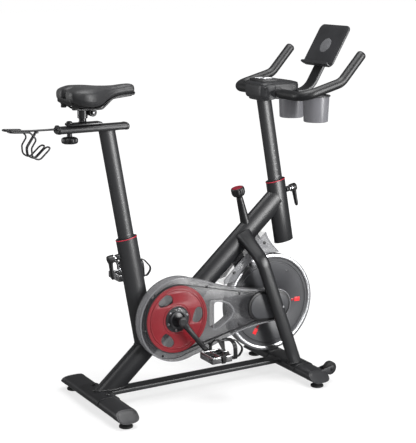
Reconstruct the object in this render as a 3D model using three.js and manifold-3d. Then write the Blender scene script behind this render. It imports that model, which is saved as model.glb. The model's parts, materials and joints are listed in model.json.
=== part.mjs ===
// Indoor exercise bike: welded oval-tube frame on two stabilisers, belt-driven flywheel, magnetic brake,
// height-adjustable saddle and handlebar, phone and tablet holder, two bottle cups and a dumbbell rack.
// Millimetres. +X is forward, +Y is the rider's left, +Z is up, and the floor is Z = 0.
// Inside the bike group X is measured from the crank axis; the group then moves to the middle of the length.
import * as THREE from "three";
import { mergeVertices } from "three/addons/utils/BufferGeometryUtils.js";
import Module from "manifold-3d";

const wasm = await Module();
wasm.setup();

// ---------------------------------------------------------------- driving dimensions
const CRANK_TO_MIDDLE = 61; // the middle of the overall length is this far in front of the crank axis
const GAP = 0.3; // clearance kept between pieces that touch
const OVAL_SIDES = 16; // facets round an oval tube
const ROUND_SIDES = 14; // facets round a turned piece

const POST_LEAN = THREE.MathUtils.degToRad(10); // both posts lean back
const SEAT_AXIS_X = -153; // where the seat post's axis crosses Z = 500
const HEAD_AXIS_X = 510; // where the handlebar post's axis crosses Z = 500
const AXIS_Z = 500;
const OUTER_TUBE = { a: 41, b: 23, wall: 2.5 }; // half width along the bike, half width across it
const POST = { a: 31, b: 16, wall: 2 };
const MAIN_TUBE = { a: 44, b: 25, wall: 2.5 };
const MAIN_SLOPE = THREE.MathUtils.degToRad(41.6);
const MAIN_POINT = { x: -69, z: 225 }; // a point on the main tube's axis

const SEAT_TUBE_TOP = 615;
const HEAD_TUBE_TOP = 767;
const HEAD_TUBE_BOTTOM = 528;
const BUSHING_LENGTH = 75;
const COLLAR = 4;
const SEAT_POST_BOTTOM = 492;
const HEAD_POST_BOTTOM = 655;
const HEAD_POST_TOP = 1084;
const SEAT_PIN_Z = 559;
const HEAD_PIN_Z = 721;

const REAR_X = -295; // rear stabiliser
const FRONT_X = 518; // front stabiliser
// Half width, half height, middle height, wall and length of the tube; how far the sloped caps reach from the
// middle, how much less they reach at the top, and how square the section is.
const STABILISER = { a: 42, half: 19.5, z: 42.5, wall: 2.5, length: 400, reach: 258, cut: 45, power: 2.8 };
const SLEEVE = { half: 86, wall: 3 }; // on the main tube's foot, over the rear stabiliser
const FOOT_Y = 220;
const FOOT_RADIUS = 25;
const WHEEL = { x: FRONT_X + 68, y: 205, z: 58, radius: 26, half: 11, pin: 4 }; // transport wheels
const BASE_RAIL = { width: 50, height: 20, z: 52, wall: 2 };

const CRANK_Z = 303;
const CRANK_LENGTH = 170;
const CRANK_ANGLE = THREE.MathUtils.degToRad(-51.2); // the right arm at rest
const ARM_Y = 98; // middle of a crank arm
const ARM_THICKNESS = 13;
const SPINDLE = { end: 9.5, middle: 12 }; // radius in the crank arms, and in the bottom bracket
const BRACKET_RADIUS = 26;
const PEDAL = { gap: 8, width: 92, length: 84, plate: 7, height: 24, axle: 6, barrel: 11 };
const PULLEY_RADIUS = 126;
const PULLEY_Y = [-62, -47];
const SMALL_PULLEY_RADIUS = 31.5; // a quarter of the crank pulley's, so the flywheel turns four times a turn
const BELT = { inside: 1.2, outside: 3.5 }; // how far its faces lie outside the pulleys

const FLYWHEEL = { x: 432, z: 295, radius: 191, rim: 172, half: 22, web: 4, hub: 27 };
const AXLE_RADIUS = 8;
const LEG = { a: 26, b: 14, y: 96, wall: 2.5 };
const GUARD_Y = [-69, -31];
const GUARD_WALL = 2.5;
const GUARD = { radius: 158, nose: 62, noseX: 432, noseZ: 297 }; // round the pulley and the flywheel's hub
const HUB_COVER = { x: 358, z: 303, radius: 57 };
const FENDER = { half: 36, wall: 2.5, clear: 202 };
const PAD_GAP = 9; // from the flywheel's rim to the brake pad

const ROD_LEAN = THREE.MathUtils.degToRad(15);
const KNOB = { x: 296, z: 742, radius: 26, height: 34 };
const BRAKE_ROD_RADIUS = 5;
const PIN = { radius: 5, from: POST.a + 1.5, to: 80 }; // locking pins, measured from the post's axis

const RAIL = { x0: -426, x1: -172, z: 1021, half: 12.5, width: 25 };
const RACK_WIRE = 3;
const CARRIAGE_TOP = 1043;
const SLIDER_X = -384;
const STEM_X = -334;
const STEM_RADIUS = 12.7;
const SADDLE_PIVOT = { x: -306, z: 1078 };

const BAR_RADIUS = 15;
const GRIP_RADIUS = 18;
const BAR_X = 425;
const BAR_Z = 1108;
const BAR_HALF = 230;
const CUP = { x: 588, y: 81, radius: 50, foot: 46, z0: 993, z1: 1088, wall: 2.5 };
const TABLET = { x: 687, z: 1271, width: 186, height: 174, thickness: 8, lean: THREE.MathUtils.degToRad(31) };

// ---------------------------------------------------------------- materials
const paint = (color, roughness, metalness, more = {}) =>
  new THREE.MeshStandardMaterial({ color, roughness, metalness, ...more });
const MATERIALS = {
  frame: paint(0x303134, 0.5, 0.4),
  plastic: paint(0x1b1c1e, 0.55, 0),
  rubber: paint(0x151515, 0.85, 0),
  foam: paint(0x232426, 0.9, 0),
  leather: paint(0x2b2c2f, 0.6, 0),
  steel: paint(0xb9bbbe, 0.3, 1),
  red: paint(0xb0182a, 0.45, 0),
  smoke: paint(0x9a9aa0, 0.2, 0, { transparent: true, opacity: 0.45 }),
  rim: paint(0xd9dadd, 0.25, 0.9),
};

// ---------------------------------------------------------------- solids
const vec = (x, y, z) => new THREE.Vector3(x, y, z);
const Y_AXIS = vec(0, 1, 0);

// A closed three.js geometry as a solid whose faces point out.
function solid(geometry) {
  const plain = geometry.clone();
  for (const name of Object.keys(plain.attributes)) {
    if (name !== "position") plain.deleteAttribute(name);
  }
  const merged = mergeVertices(plain, 1e-4);
  const make = (flip) => {
    const triVerts = new Uint32Array(merged.index.array);
    if (flip) triVerts.reverse();
    const vertProperties = new Float32Array(merged.attributes.position.array);
    return new wasm.Manifold(new wasm.Mesh({ numProp: 3, vertProperties, triVerts }));
  };
  const made = make(false);
  return made.volume() > 0 ? made : make(true);
}

// Joins rings of points, each with the same count, into a closed skin with flat ends.
function loft(rings) {
  const count = rings[0].length;
  const points = rings.flat();
  const faces = [];
  for (let r = 0; r + 1 < rings.length; r++) {
    for (let i = 0; i < count; i++) {
      const a = r * count + i;
      const b = r * count + ((i + 1) % count);
      faces.push(a, b, a + count, b, b + count, a + count);
    }
  }
  const last = (rings.length - 1) * count;
  for (let i = 1; i + 1 < count; i++) {
    faces.push(0, i + 1, i, last, last + i, last + i + 1);
  }
  const geometry = new THREE.BufferGeometry().setFromPoints(points);
  geometry.setIndex(faces);
  return solid(geometry);
}

// A ring of points: an ellipse at power 2, and nearer to a rectangle as the power grows.
function oval(centre, u, v, a, b, sides = OVAL_SIDES, power = 2) {
  const bend = (t) => Math.sign(t) * Math.abs(t) ** (2 / power);
  return Array.from({ length: sides }, (_, i) => {
    const angle = (2 * Math.PI * (i + 0.5)) / sides;
    return centre
      .clone()
      .addScaledVector(u, a * bend(Math.cos(angle)))
      .addScaledVector(v, b * bend(Math.sin(angle)));
  });
}

// A straight bar with an oval section: a is the half width along u and b the half width along the third axis.
function bar(from, to, u, a, b, sides = OVAL_SIDES, power = 2) {
  const along = to.clone().sub(from).normalize();
  const v = along.clone().cross(u).normalize();
  return loft([oval(from, u, v, a, b, sides, power), oval(to, u, v, a, b, sides, power)]);
}

// A round bar between two points.
function rod(from, to, radius, sides = ROUND_SIDES) {
  const along = to.clone().sub(from).normalize();
  const u = Math.abs(along.y) > 0.9 ? vec(1, 0, 0) : vec(0, 1, 0).cross(along).normalize();
  return bar(from, to, u, radius, radius, sides);
}

function box(x0, x1, y0, y1, z0, z1) {
  const geometry = new THREE.BoxGeometry(x1 - x0, y1 - y0, z1 - z0);
  return solid(geometry.translate((x0 + x1) / 2, (y0 + y1) / 2, (z0 + z1) / 2));
}

// A flat outline drawn in X and Z, given thickness from y0 to y1.
function plate(shape, y0, y1, curveSegments = 8) {
  const geometry = new THREE.ExtrudeGeometry(shape, { depth: y1 - y0, bevelEnabled: false, curveSegments });
  return solid(geometry.rotateX(Math.PI / 2).translate(0, y1, 0));
}

// A turned piece: profile points are [radius, height] along the axis from the origin.
function turned(profile, origin, axis, sides = ROUND_SIDES) {
  const geometry = new THREE.LatheGeometry(profile.map(([r, h]) => new THREE.Vector2(r, h)), sides);
  geometry.applyQuaternion(new THREE.Quaternion().setFromUnitVectors(Y_AXIS, axis.clone().normalize()));
  return solid(geometry.translate(origin.x, origin.y, origin.z));
}

// Points of a path whose corners are rounded: corners are [point, radius].
function rounded(corners, steps = 5) {
  const path = [corners[0][0].clone()];
  for (let i = 1; i + 1 < corners.length; i++) {
    const [corner, radius] = corners[i];
    const before = corners[i - 1][0].clone().sub(corner).normalize();
    const after = corners[i + 1][0].clone().sub(corner).normalize();
    const half = before.angleTo(after) / 2;
    const reach = radius / Math.tan(half);
    const start = corner.clone().addScaledVector(before, reach);
    const end = corner.clone().addScaledVector(after, reach);
    const middle = before.clone().add(after).normalize();
    const centre = corner.clone().addScaledVector(middle, radius / Math.sin(half));
    const u = start.clone().sub(centre);
    const v = end.clone().sub(centre);
    const turn = u.angleTo(v);
    for (let s = 0; s <= steps; s++) {
      const t = s / steps;
      const weightU = Math.sin((1 - t) * turn) / Math.sin(turn);
      const weightV = Math.sin(t * turn) / Math.sin(turn);
      path.push(centre.clone().addScaledVector(u, weightU).addScaledVector(v, weightV));
    }
  }
  path.push(corners.at(-1)[0].clone());
  return path;
}

// Sweeps an oval along a path; side is the section's second axis at the start, carried along without twist.
function sweep(path, a, b, side, sides = 10, power = 2) {
  let v = side.clone();
  const rings = path.map((point, i) => {
    const before = path[Math.max(i - 1, 0)];
    const after = path[Math.min(i + 1, path.length - 1)];
    const back = point.clone().sub(before).normalize();
    const ahead = after.clone().sub(point).normalize();
    const along = back.add(ahead).normalize();
    v = v.clone().addScaledVector(along, -v.dot(along)).normalize();
    const u = v.clone().cross(along).normalize();
    return oval(point, u, v, a, b, sides, power);
  });
  return loft(rings);
}

// A hollow oval tube, open at both ends.
function hollow(from, to, u, tube, insideSides = OVAL_SIDES) {
  const spare = to.clone().sub(from).normalize();
  const [start, end] = [from.clone().sub(spare), to.clone().add(spare)];
  const inside = bar(start, end, u, tube.a - tube.wall, tube.b - tube.wall, insideSides);
  return bar(from, to, u, tube.a, tube.b).subtract(inside);
}

const mirrored = (shape) => shape.mirror([0, 1, 0]);

// ---------------------------------------------------------------- scene graph
const bike = new THREE.Group();

function add(name, shape, material) {
  const mesh = shape.getMesh();
  const geometry = new THREE.BufferGeometry();
  geometry.setAttribute("position", new THREE.BufferAttribute(mesh.vertProperties, 3));
  geometry.setIndex(new THREE.BufferAttribute(mesh.triVerts, 1));
  geometry.computeVertexNormals();
  const node = new THREE.Mesh(geometry, MATERIALS[material]);
  node.name = name;
  bike.add(node);
}

// Adds a piece on the right side and its mirror image on the left.
function addPair(name, shape, material) {
  add(`${name}_right`, shape, material);
  add(`${name}_left`, mirrored(shape), material);
}

// ---------------------------------------------------------------- frame lines
const postUp = vec(-Math.sin(POST_LEAN), 0, Math.cos(POST_LEAN));
const postFront = vec(Math.cos(POST_LEAN), 0, Math.sin(POST_LEAN));
const mainUp = vec(Math.cos(MAIN_SLOPE), 0, Math.sin(MAIN_SLOPE));
const mainAcross = vec(-Math.sin(MAIN_SLOPE), 0, Math.cos(MAIN_SLOPE));
const rodUp = vec(-Math.sin(ROD_LEAN), 0, Math.cos(ROD_LEAN));
const rodAcross = Y_AXIS.clone().cross(rodUp);
const rodTop = KNOB.z - KNOB.height / 2 - 2;
const seatAt = (z) => vec(SEAT_AXIS_X - (z - AXIS_Z) * Math.tan(POST_LEAN), 0, z);
const headAt = (z) => vec(HEAD_AXIS_X - (z - AXIS_Z) * Math.tan(POST_LEAN), 0, z);
const mainAt = (x) => vec(x, 0, MAIN_POINT.z + (x - MAIN_POINT.x) * Math.tan(MAIN_SLOPE));
const rodAt = (z) => vec(KNOB.x + (KNOB.z - z) * Math.tan(ROD_LEAN), 0, z);
const crankAt = (y) => vec(0, y, CRANK_Z);
const hubAt = (y) => vec(FLYWHEEL.x, y, FLYWHEEL.z);
const stabiliserTop = STABILISER.z + STABILISER.half;

// Where the main tube's axis reaches the head tube's axis, and the same for the seat tube.
function meet(axisX) {
  const slope = Math.tan(MAIN_SLOPE);
  const lean = Math.tan(POST_LEAN);
  const z = (MAIN_POINT.z + slope * (axisX + lean * AXIS_Z - MAIN_POINT.x)) / (1 + slope * lean);
  return mainAt(axisX - (z - AXIS_Z) * lean);
}
const mainTop = meet(HEAD_AXIS_X);
const seatFoot = meet(SEAT_AXIS_X);

// ---------------------------------------------------------------- frame tubes
const grown = (tube, by = GAP) => [tube.a + by, tube.b + by];
const mainBottom = mainAt(REAR_X - 60);
const headOuter = bar(headAt(HEAD_TUBE_BOTTOM), headAt(HEAD_TUBE_TOP), postFront, ...grown(OUTER_TUBE));
const mainOuter = bar(mainBottom, mainTop, mainAcross, ...grown(MAIN_TUBE));

// The main tube, with the saddle-shaped plate at its foot.
function mainTube() {
  const outer = bar(mainBottom, mainTop, mainAcross, MAIN_TUBE.a, MAIN_TUBE.b);
  const inner = bar(mainBottom, mainTop, mainAcross, ...grown(MAIN_TUBE, -MAIN_TUBE.wall), 10);
  const floor = box(-600, 200, -60, 60, -100, stabiliserTop + GAP);
  const tube = outer.subtract(floor).subtract(headOuter);
  const shell = tube
    .subtract(inner)
    .subtract(rod(crankAt(-60), crankAt(60), BRACKET_RADIUS + GAP))
    .subtract(rod(rodAt(500), rodAt(700), BRAKE_ROD_RADIUS + 4));
  const railHalf = BASE_RAIL.width / 2 + GAP;
  const sleeve = stabiliserSolid(REAR_X, GAP + SLEEVE.wall, SLEEVE.half)
    .subtract(stabiliserSolid(REAR_X, GAP))
    .subtract(box(-600, 200, -200, 200, -100, STABILISER.z))
    .subtract(box(REAR_X, 200, -railHalf, railHalf, -100, stabiliserTop + GAP));
  return shell.add(sleeve);
}

// The seat tube and the head tube each carry a threaded boss for a locking pin.
function seatTube() {
  const boss = pinRod(seatAt(SEAT_PIN_Z), -1, OUTER_TUBE.a - 2, 55, 11);
  return hollow(seatFoot, seatAt(SEAT_TUBE_TOP), postFront, OUTER_TUBE)
    .add(boss)
    .subtract(mainOuter)
    .subtract(pinRod(seatAt(SEAT_PIN_Z), -1, 0, 60, 5.5));
}

function headTube() {
  const boss = pinRod(headAt(HEAD_PIN_Z), 1, OUTER_TUBE.a - 2, 55, 11);
  return hollow(headAt(HEAD_TUBE_BOTTOM), headAt(HEAD_TUBE_TOP), postFront, OUTER_TUBE)
    .add(boss)
    .subtract(pinRod(headAt(HEAD_PIN_Z), 1, 0, 60, 5.5));
}

// A round bar along a post's locking pin, between two distances from the post's axis; facing is 1 forward
// and -1 back.
function pinRod(axisPoint, facing, from, to, radius) {
  const at = (d) => axisPoint.clone().addScaledVector(postFront, facing * d);
  return rod(at(from), at(to), radius, 10);
}

// The plastic bushing that guides a post, with the red collar on top of its tube.
function bushing(at, top) {
  const low = at(top).addScaledVector(postUp, -BUSHING_LENGTH);
  const high = at(top).addScaledVector(postUp, COLLAR);
  const sleeve = bar(low, high, postFront, ...grown(OUTER_TUBE, -OUTER_TUBE.wall - GAP));
  const seat = at(top).addScaledVector(postUp, GAP);
  const collar = bar(seat, high, postFront, OUTER_TUBE.a, OUTER_TUBE.b);
  const below = low.clone().addScaledVector(postUp, -5);
  const above = high.clone().addScaledVector(postUp, 5);
  return sleeve.add(collar).subtract(bar(below, above, postFront, ...grown(POST, GAP)));
}

// A front leg swells out of the main tube's side, bends down and runs to the stabiliser.
function legSolid(grow = 0, sides = 12) {
  const corners = [
    [vec(503, -LEG.y, STABILISER.z), 0],
    [vec(346, -LEG.y, 486), 70],
    [vec(309, -12, 580), 0],
  ];
  return sweep(rounded(corners, 2), LEG.a + grow, LEG.b + grow, Y_AXIS, sides, 2.6);
}

function frontLeg() {
  return legSolid()
    .subtract(legSolid(-LEG.wall, 8))
    .subtract(mainOuter)
    .subtract(stabiliserSolid(FRONT_X, GAP))
    .subtract(rod(hubAt(-200), hubAt(200), AXLE_RADIUS + GAP, 16));
}

// The flat rail along the floor, between the two stabilisers.
function baseRail() {
  const half = { y: BASE_RAIL.width / 2, z: BASE_RAIL.height / 2 };
  const ends = [vec(REAR_X + 10, 0, BASE_RAIL.z), vec(FRONT_X - 10, 0, BASE_RAIL.z)];
  const tube = (inset) => bar(...ends, vec(0, 0, 1), half.z - inset, half.y - inset, 20, 5);
  return tube(0)
    .subtract(tube(BASE_RAIL.wall))
    .subtract(stabiliserSolid(REAR_X, GAP))
    .subtract(stabiliserSolid(FRONT_X, GAP));
}

// ---------------------------------------------------------------- stabilisers, caps, feet and wheels
function stabiliserSolid(x, grow = 0, half = STABILISER.length / 2) {
  const at = (y) => vec(x, y, STABILISER.z);
  const [up, along] = [STABILISER.half + grow, STABILISER.a + grow];
  return bar(at(-half), at(half), vec(0, 0, 1), up, along, 20, STABILISER.power);
}

function stabiliser(x) {
  return stabiliserSolid(x).subtract(stabiliserSolid(x, -STABILISER.wall, 400));
}

// A stabiliser's right-hand end: a plug whose face slopes out and down.
function endCap(x) {
  const { a, half, z, length, reach, cut, power } = STABILISER;
  const ring = (scale) => oval(vec(x, 0, z), vec(0, 0, 1), vec(1, 0, 0), half * scale, a * scale, 20, power);
  const sloped = (scale, out) =>
    ring(scale).map((p) => p.setY((cut * (p.z - z + half)) / (2 * half) - reach - out));
  const seam = ring(1.02).map((p) => p.setY(-length / 2 - GAP));
  return loft([seam, sloped(1.01, -4), sloped(0.96, 0), sloped(0.7, 1.5)]);
}

// The rear stabiliser with its caps fitted; the hole underneath drains it.
function rearStabiliser() {
  const cap = endCap(REAR_X).translate([0, GAP + 1, 0]);
  const drain = rod(vec(REAR_X, 0, 10), vec(REAR_X, 0, 40), 5, 12);
  return stabiliser(REAR_X).add(cap).add(mirrored(cap)).subtract(drain);
}

// A screw-in foot under a stabiliser's end.
function foot(x, y) {
  const profile = [
    [0, 0],
    [FOOT_RADIUS - 2, 0],
    [FOOT_RADIUS, 3],
    [FOOT_RADIUS - 3, 9],
    [12, 13],
    [6, 15],
    [6, 21.9],
    [0, 21.9],
  ];
  return turned(profile, vec(x, y, 0), vec(0, 0, 1), 12);
}

// The front cap carries a fork for the transport wheel, and the wheel's own axle pin.
function wheelCap() {
  const arm = (y) => {
    const shape = new THREE.Shape();
    shape.moveTo(FRONT_X + 20, STABILISER.z - 12);
    shape.lineTo(WHEEL.x + 4, WHEEL.z - 12);
    shape.absarc(WHEEL.x, WHEEL.z, 12, -1.2, 2.2, false);
    shape.lineTo(FRONT_X + 20, STABILISER.z + 19);
    return plate(shape, y - 2.5, y + 2.5, 5);
  };
  const reach = WHEEL.half + 4;
  const [y0, y1] = [-WHEEL.y - reach, -WHEEL.y + reach];
  const bridge = box(FRONT_X + 22, FRONT_X + 31, y0, y1, STABILISER.z - 8, STABILISER.z + 12);
  const pin = rod(vec(WHEEL.x, y0, WHEEL.z), vec(WHEEL.x, y1, WHEEL.z), WHEEL.pin, 12);
  const fork = arm(y0).add(arm(y1)).add(bridge).add(pin);
  const tube = stabiliserSolid(FRONT_X, GAP);
  return endCap(FRONT_X).add(fork.subtract(tube).add(linkToCap()));
}

// The wheel fork's outer arm runs on into the cap, which holds it.
function linkToCap() {
  const y = -STABILISER.length / 2;
  return box(FRONT_X + 24, FRONT_X + 41, y - 12, y - GAP, STABILISER.z - 8, STABILISER.z + 8);
}

function transportWheel() {
  const { half, radius, pin } = WHEEL;
  const profile = [
    [pin + GAP, -half],
    [radius - 4, -half],
    [radius, -half + 4],
    [radius, half - 4],
    [radius - 4, half],
    [pin + GAP, half],
    [pin + GAP, -half],
  ];
  return turned(profile, vec(WHEEL.x, -WHEEL.y, WHEEL.z), Y_AXIS, 14);
}

// ---------------------------------------------------------------- drive
function bottomBracket() {
  const shell = rod(crankAt(-38), crankAt(46), BRACKET_RADIUS);
  return shell.subtract(rod(crankAt(-60), crankAt(60), SPINDLE.middle + 3 * GAP));
}

function pulleyWindow(turn) {
  const shape = new THREE.Shape();
  shape.moveTo(66, -14);
  shape.quadraticCurveTo(70, -26, 82, -26);
  shape.quadraticCurveTo(104, -22, 106, 6);
  shape.quadraticCurveTo(106, 22, 94, 24);
  shape.quadraticCurveTo(84, 24, 66, -14);
  return plate(shape, -100, 0, 5).rotate([0, -turn, 0]).translate([0, 0, CRANK_Z]);
}

// The crank pulley on its spindle: a belt track round a dished web with three windows.
function crankPulley() {
  const [y0, y1] = PULLEY_Y;
  const profile = [
    [0, y0 - 2],
    [50, y0 - 2],
    [50, y0 + 3],
    [PULLEY_RADIUS - 14, y0 + 3],
    [PULLEY_RADIUS - 14, y0],
    [PULLEY_RADIUS, y0],
    [PULLEY_RADIUS, y1],
    [PULLEY_RADIUS - 14, y1],
    [PULLEY_RADIUS - 14, y0 + 8],
    [40, y0 + 8],
    [40, y1],
    [0, y1],
  ];
  let pulley = turned(profile, crankAt(0), Y_AXIS, 28);
  for (const turn of [5, 125, 245]) pulley = pulley.subtract(pulleyWindow(turn));
  const spindleEnd = ARM_Y + ARM_THICKNESS / 2 + 1;
  return pulley
    .add(rod(crankAt(-spindleEnd), crankAt(spindleEnd), SPINDLE.end, 12))
    .add(rod(crankAt(-50), crankAt(50), SPINDLE.middle));
}

const armTip = (side) =>
  vec(Math.cos(CRANK_ANGLE), 0, Math.sin(CRANK_ANGLE)).multiplyScalar(CRANK_LENGTH * side);

// A crank arm; side is 1 for the right arm and -1 for the left, which points the opposite way.
function crankArm(side) {
  const y = -ARM_Y * side;
  const along = armTip(side).normalize();
  const across = along.clone().cross(Y_AXIS).normalize();
  const half = ARM_THICKNESS / 2;
  const ring = (d, w) => oval(crankAt(y).addScaledVector(along, d), across, Y_AXIS, w, half, 8, 3.5);
  const widths = [
    [-6, 15],
    [12, 15.5],
    [40, 12.5],
    [CRANK_LENGTH + 6, 11],
  ];
  const blade = loft(widths.map(([d, w]) => ring(d, w)));
  const eye = crankAt(y).addScaledVector(along, CRANK_LENGTH);
  const hub = rod(crankAt(y - half), crankAt(y + half + 6 * side), 18);
  const end = rod(vec(eye.x, y - half, eye.z), vec(eye.x, y + half, eye.z), 14);
  return blade
    .add(hub)
    .add(end)
    .subtract(rod(crankAt(y - 40), crankAt(y + 40), SPINDLE.end + GAP, 12))
    .subtract(rod(vec(eye.x, y - 40, eye.z), vec(eye.x, y + 40, eye.z), PEDAL.axle, 10));
}

// A pedal: axle, barrel and a rectangular cage round it. Its middle is at the crank arm's eye.
function pedal(side) {
  const eye = armTip(side).add(crankAt(0));
  const y0 = ARM_Y + ARM_THICKNESS / 2 + PEDAL.gap;
  const y1 = y0 + PEDAL.width;
  const hx = PEDAL.length / 2;
  const hz = PEDAL.height / 2;
  const sideX = (x) => box(x - PEDAL.plate / 2, x + PEDAL.plate / 2, y0, y1, -hz, hz);
  const endY = (y) => box(-hx, hx, y, y + PEDAL.plate, -hz, hz);
  const axle = rod(vec(0, ARM_Y - 6, 0), vec(0, y0 + 5, 0), PEDAL.axle - GAP, 10);
  const barrel = rod(vec(0, y0 - 3, 0), vec(0, y1, 0), PEDAL.barrel, 16);
  const body = barrel
    .add(axle)
    .add(sideX(hx - 3.5))
    .add(sideX(3.5 - hx))
    .add(endY(y0))
    .add(endY(y1 - PEDAL.plate))
    .add(box(-hx, hx, y0 + 42, y0 + 50, -4, 4));
  return (side > 0 ? mirrored(body) : body).translate([eye.x, 0, eye.z]);
}

// The toe cage in front of a pedal, and the strap that crosses over the shoe and passes under the pedal.
function toeCage(side) {
  const eye = armTip(side).add(crankAt(0));
  const yMid = ARM_Y + ARM_THICKNESS / 2 + PEDAL.gap + PEDAL.width / 2;
  const front = PEDAL.length / 2 + GAP + 0.2;
  const at = (x, y, z) => vec(x, yMid + y, z);
  const nose = [
    [at(front + 1.5, 0, -8), 0],
    [at(front + 1.5, 0, 6), 5],
    [at(front + 48, 0, 10), 18],
    [at(front + 66, 0, 34), 18],
    [at(front + 50, 0, 60), 18],
    [at(10, 0, 66), 0],
  ];
  const band = sweep(rounded(nose, 2), 2, 15, Y_AXIS, 4, 20);
  const hoop = [
    [at(front - 12, -50, 22), 0],
    [at(front + 40, -48, 26), 22],
    [at(front + 68, 0, 32), 34],
    [at(front + 40, 48, 26), 22],
    [at(front - 12, 50, 22), 0],
  ];
  const ring = sweep(rounded(hoop, 3), 2, 5, vec(0, 0, 1), 4, 20);
  const halfWidth = PEDAL.width / 2 + 3;
  const under = -PEDAL.height / 2 - 2.2;
  const strapPath = [
    [at(8, 0, under), 0],
    [at(8, -halfWidth, under), 7],
    [at(8, -halfWidth - 1, 36), 22],
    [at(8, 0, 66), 30],
    [at(8, halfWidth + 1, 36), 22],
    [at(8, halfWidth, under), 7],
    [at(8, 0.5, under), 0],
  ];
  const strap = sweep(rounded(strapPath, 2), 1.4, 9, vec(1, 0, 0), 4, 20);
  const tabs = [-1, 1].map((s) => box(2, front - 8, yMid + s * 49 - 2.4, yMid + s * 49 + 2.4, 17, 27));
  const cage = band.add(ring).add(strap).add(tabs[0]).add(tabs[1]);
  return (side > 0 ? mirrored(cage) : cage).translate([eye.x, 0, eye.z]).subtract(pedal(side));
}

// The flywheel: a heavy rim on a thin web, with the small belt pulley on its hub.
function flywheel() {
  const { radius, rim, half, web, hub } = FLYWHEEL;
  const bore = AXLE_RADIUS + 0.5;
  const [p0, p1] = PULLEY_Y;
  const profile = [
    [bore, p0],
    [SMALL_PULLEY_RADIUS, p0],
    [SMALL_PULLEY_RADIUS, p1],
    [18, p1],
    [18, -half],
    [hub, -web],
    [rim, -web],
    [rim, -half],
    [radius, -half],
    [radius, half],
    [rim, half],
    [rim, web],
    [hub, web],
    [hub, half + 8],
    [bore, half + 8],
    [bore, p0],
  ];
  return turned(profile, hubAt(0), Y_AXIS, 30);
}

function beltPath(grow) {
  const shape = new THREE.Shape();
  const big = PULLEY_RADIUS + grow;
  const small = SMALL_PULLEY_RADIUS + grow;
  const away = Math.hypot(FLYWHEEL.x, FLYWHEEL.z - CRANK_Z);
  const tilt = Math.atan2(FLYWHEEL.z - CRANK_Z, FLYWHEEL.x);
  const wrap = Math.acos((PULLEY_RADIUS - SMALL_PULLEY_RADIUS) / away);
  shape.absarc(0, CRANK_Z, big, tilt + wrap, tilt - wrap + 2 * Math.PI, false);
  shape.absarc(FLYWHEEL.x, FLYWHEEL.z, small, tilt - wrap, tilt + wrap, false);
  return shape;
}

function driveBelt() {
  const [p0, p1] = PULLEY_Y;
  const outer = plate(beltPath(BELT.outside), p0 + 2, p1 - 2, 14);
  return outer.subtract(plate(beltPath(BELT.inside), p0, p1, 14));
}

// ---------------------------------------------------------------- belt guard
// The guard's outline, drawn smaller by inset: a big round end, a waist and a small round end.
function guardOutline(inset = 0) {
  const big = GUARD.radius - inset;
  const nose = GUARD.nose - inset;
  const start = THREE.MathUtils.degToRad(66);
  const end = THREE.MathUtils.degToRad(-68);
  const at = (angle, r) => [r * Math.cos(angle), CRANK_Z + r * Math.sin(angle)];
  const shape = new THREE.Shape();
  shape.moveTo(...at(start, big));
  shape.absarc(0, CRANK_Z, big, start, end + 2 * Math.PI, false);
  shape.quadraticCurveTo(120, 170 + inset, 190, 196 + inset);
  shape.quadraticCurveTo(280, 232 + inset, GUARD.noseX - 6, GUARD.noseZ - nose);
  shape.absarc(GUARD.noseX, GUARD.noseZ, nose, -Math.PI / 2, Math.PI / 2, false);
  shape.quadraticCurveTo(250, 376 - inset, 160, 416 - inset);
  shape.quadraticCurveTo(110, 438 - inset, ...at(start, big));
  return shape;
}

// The window through the guard, inside the belt's loop; grow widens it for the wall around it.
function guardWindow(grow = 0) {
  const shape = new THREE.Shape();
  const left = 152 - grow;
  shape.moveTo(left, 250 - grow);
  shape.lineTo(left, 340 + grow);
  shape.quadraticCurveTo(left + 2, 347 + grow, 160, 347 + grow);
  shape.quadraticCurveTo(222 + grow, 340 + grow, 234 + grow, 301);
  shape.quadraticCurveTo(222 + grow, 272 - grow, 158, 245 - grow);
  shape.quadraticCurveTo(left + 1, 243 - grow, left, 250 - grow);
  return shape;
}

function guardOuter() {
  const [y0, y1] = GUARD_Y;
  const inside = plate(guardOutline(GUARD_WALL), y0 + GUARD_WALL, y1 + 5);
  const wellWall = plate(guardWindow(GUARD_WALL), y0, y1, 4);
  return plate(guardOutline(), y0, y1 - 3 - GAP)
    .subtract(inside.subtract(wellWall))
    .subtract(plate(guardWindow(), y0 - 5, y1 + 5, 4))
    .subtract(box(0, 600, y0 - 10, y1 + 10, 0, 155))
    .subtract(rod(crankAt(-90), crankAt(-20), 32))
    .subtract(rod(hubAt(y0 - 5), hubAt(y0 + 5), AXLE_RADIUS + 3, 12));
}

function guardInner() {
  const y1 = GUARD_Y[1];
  return plate(guardOutline(), y1 - 3, y1)
    .subtract(plate(guardWindow(), y1 - 10, y1 + 5, 4))
    .subtract(rod(crankAt(-90), crankAt(-20), 34))
    .subtract(rod(hubAt(-90), hubAt(0), 34));
}

// The cap on the guard's nose, from a round end over the belt to the flywheel's axle, with a raised panel.
function hubCover() {
  const y0 = GUARD_Y[0] - GAP;
  const outline = (radius) => {
    const shape = new THREE.Shape();
    shape.absarc(HUB_COVER.x, HUB_COVER.z, radius, Math.PI / 2, 1.5 * Math.PI, false);
    shape.absarc(GUARD.noseX, GUARD.noseZ, radius, -Math.PI / 2, Math.PI / 2, false);
    return shape;
  };
  return plate(outline(HUB_COVER.radius), y0 - 4, y0)
    .add(plate(outline(HUB_COVER.radius - 8), y0 - 7, y0 - 3))
    .subtract(rod(hubAt(y0 - 20), hubAt(y0 + 5), AXLE_RADIUS + 3, 12));
}

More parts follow.
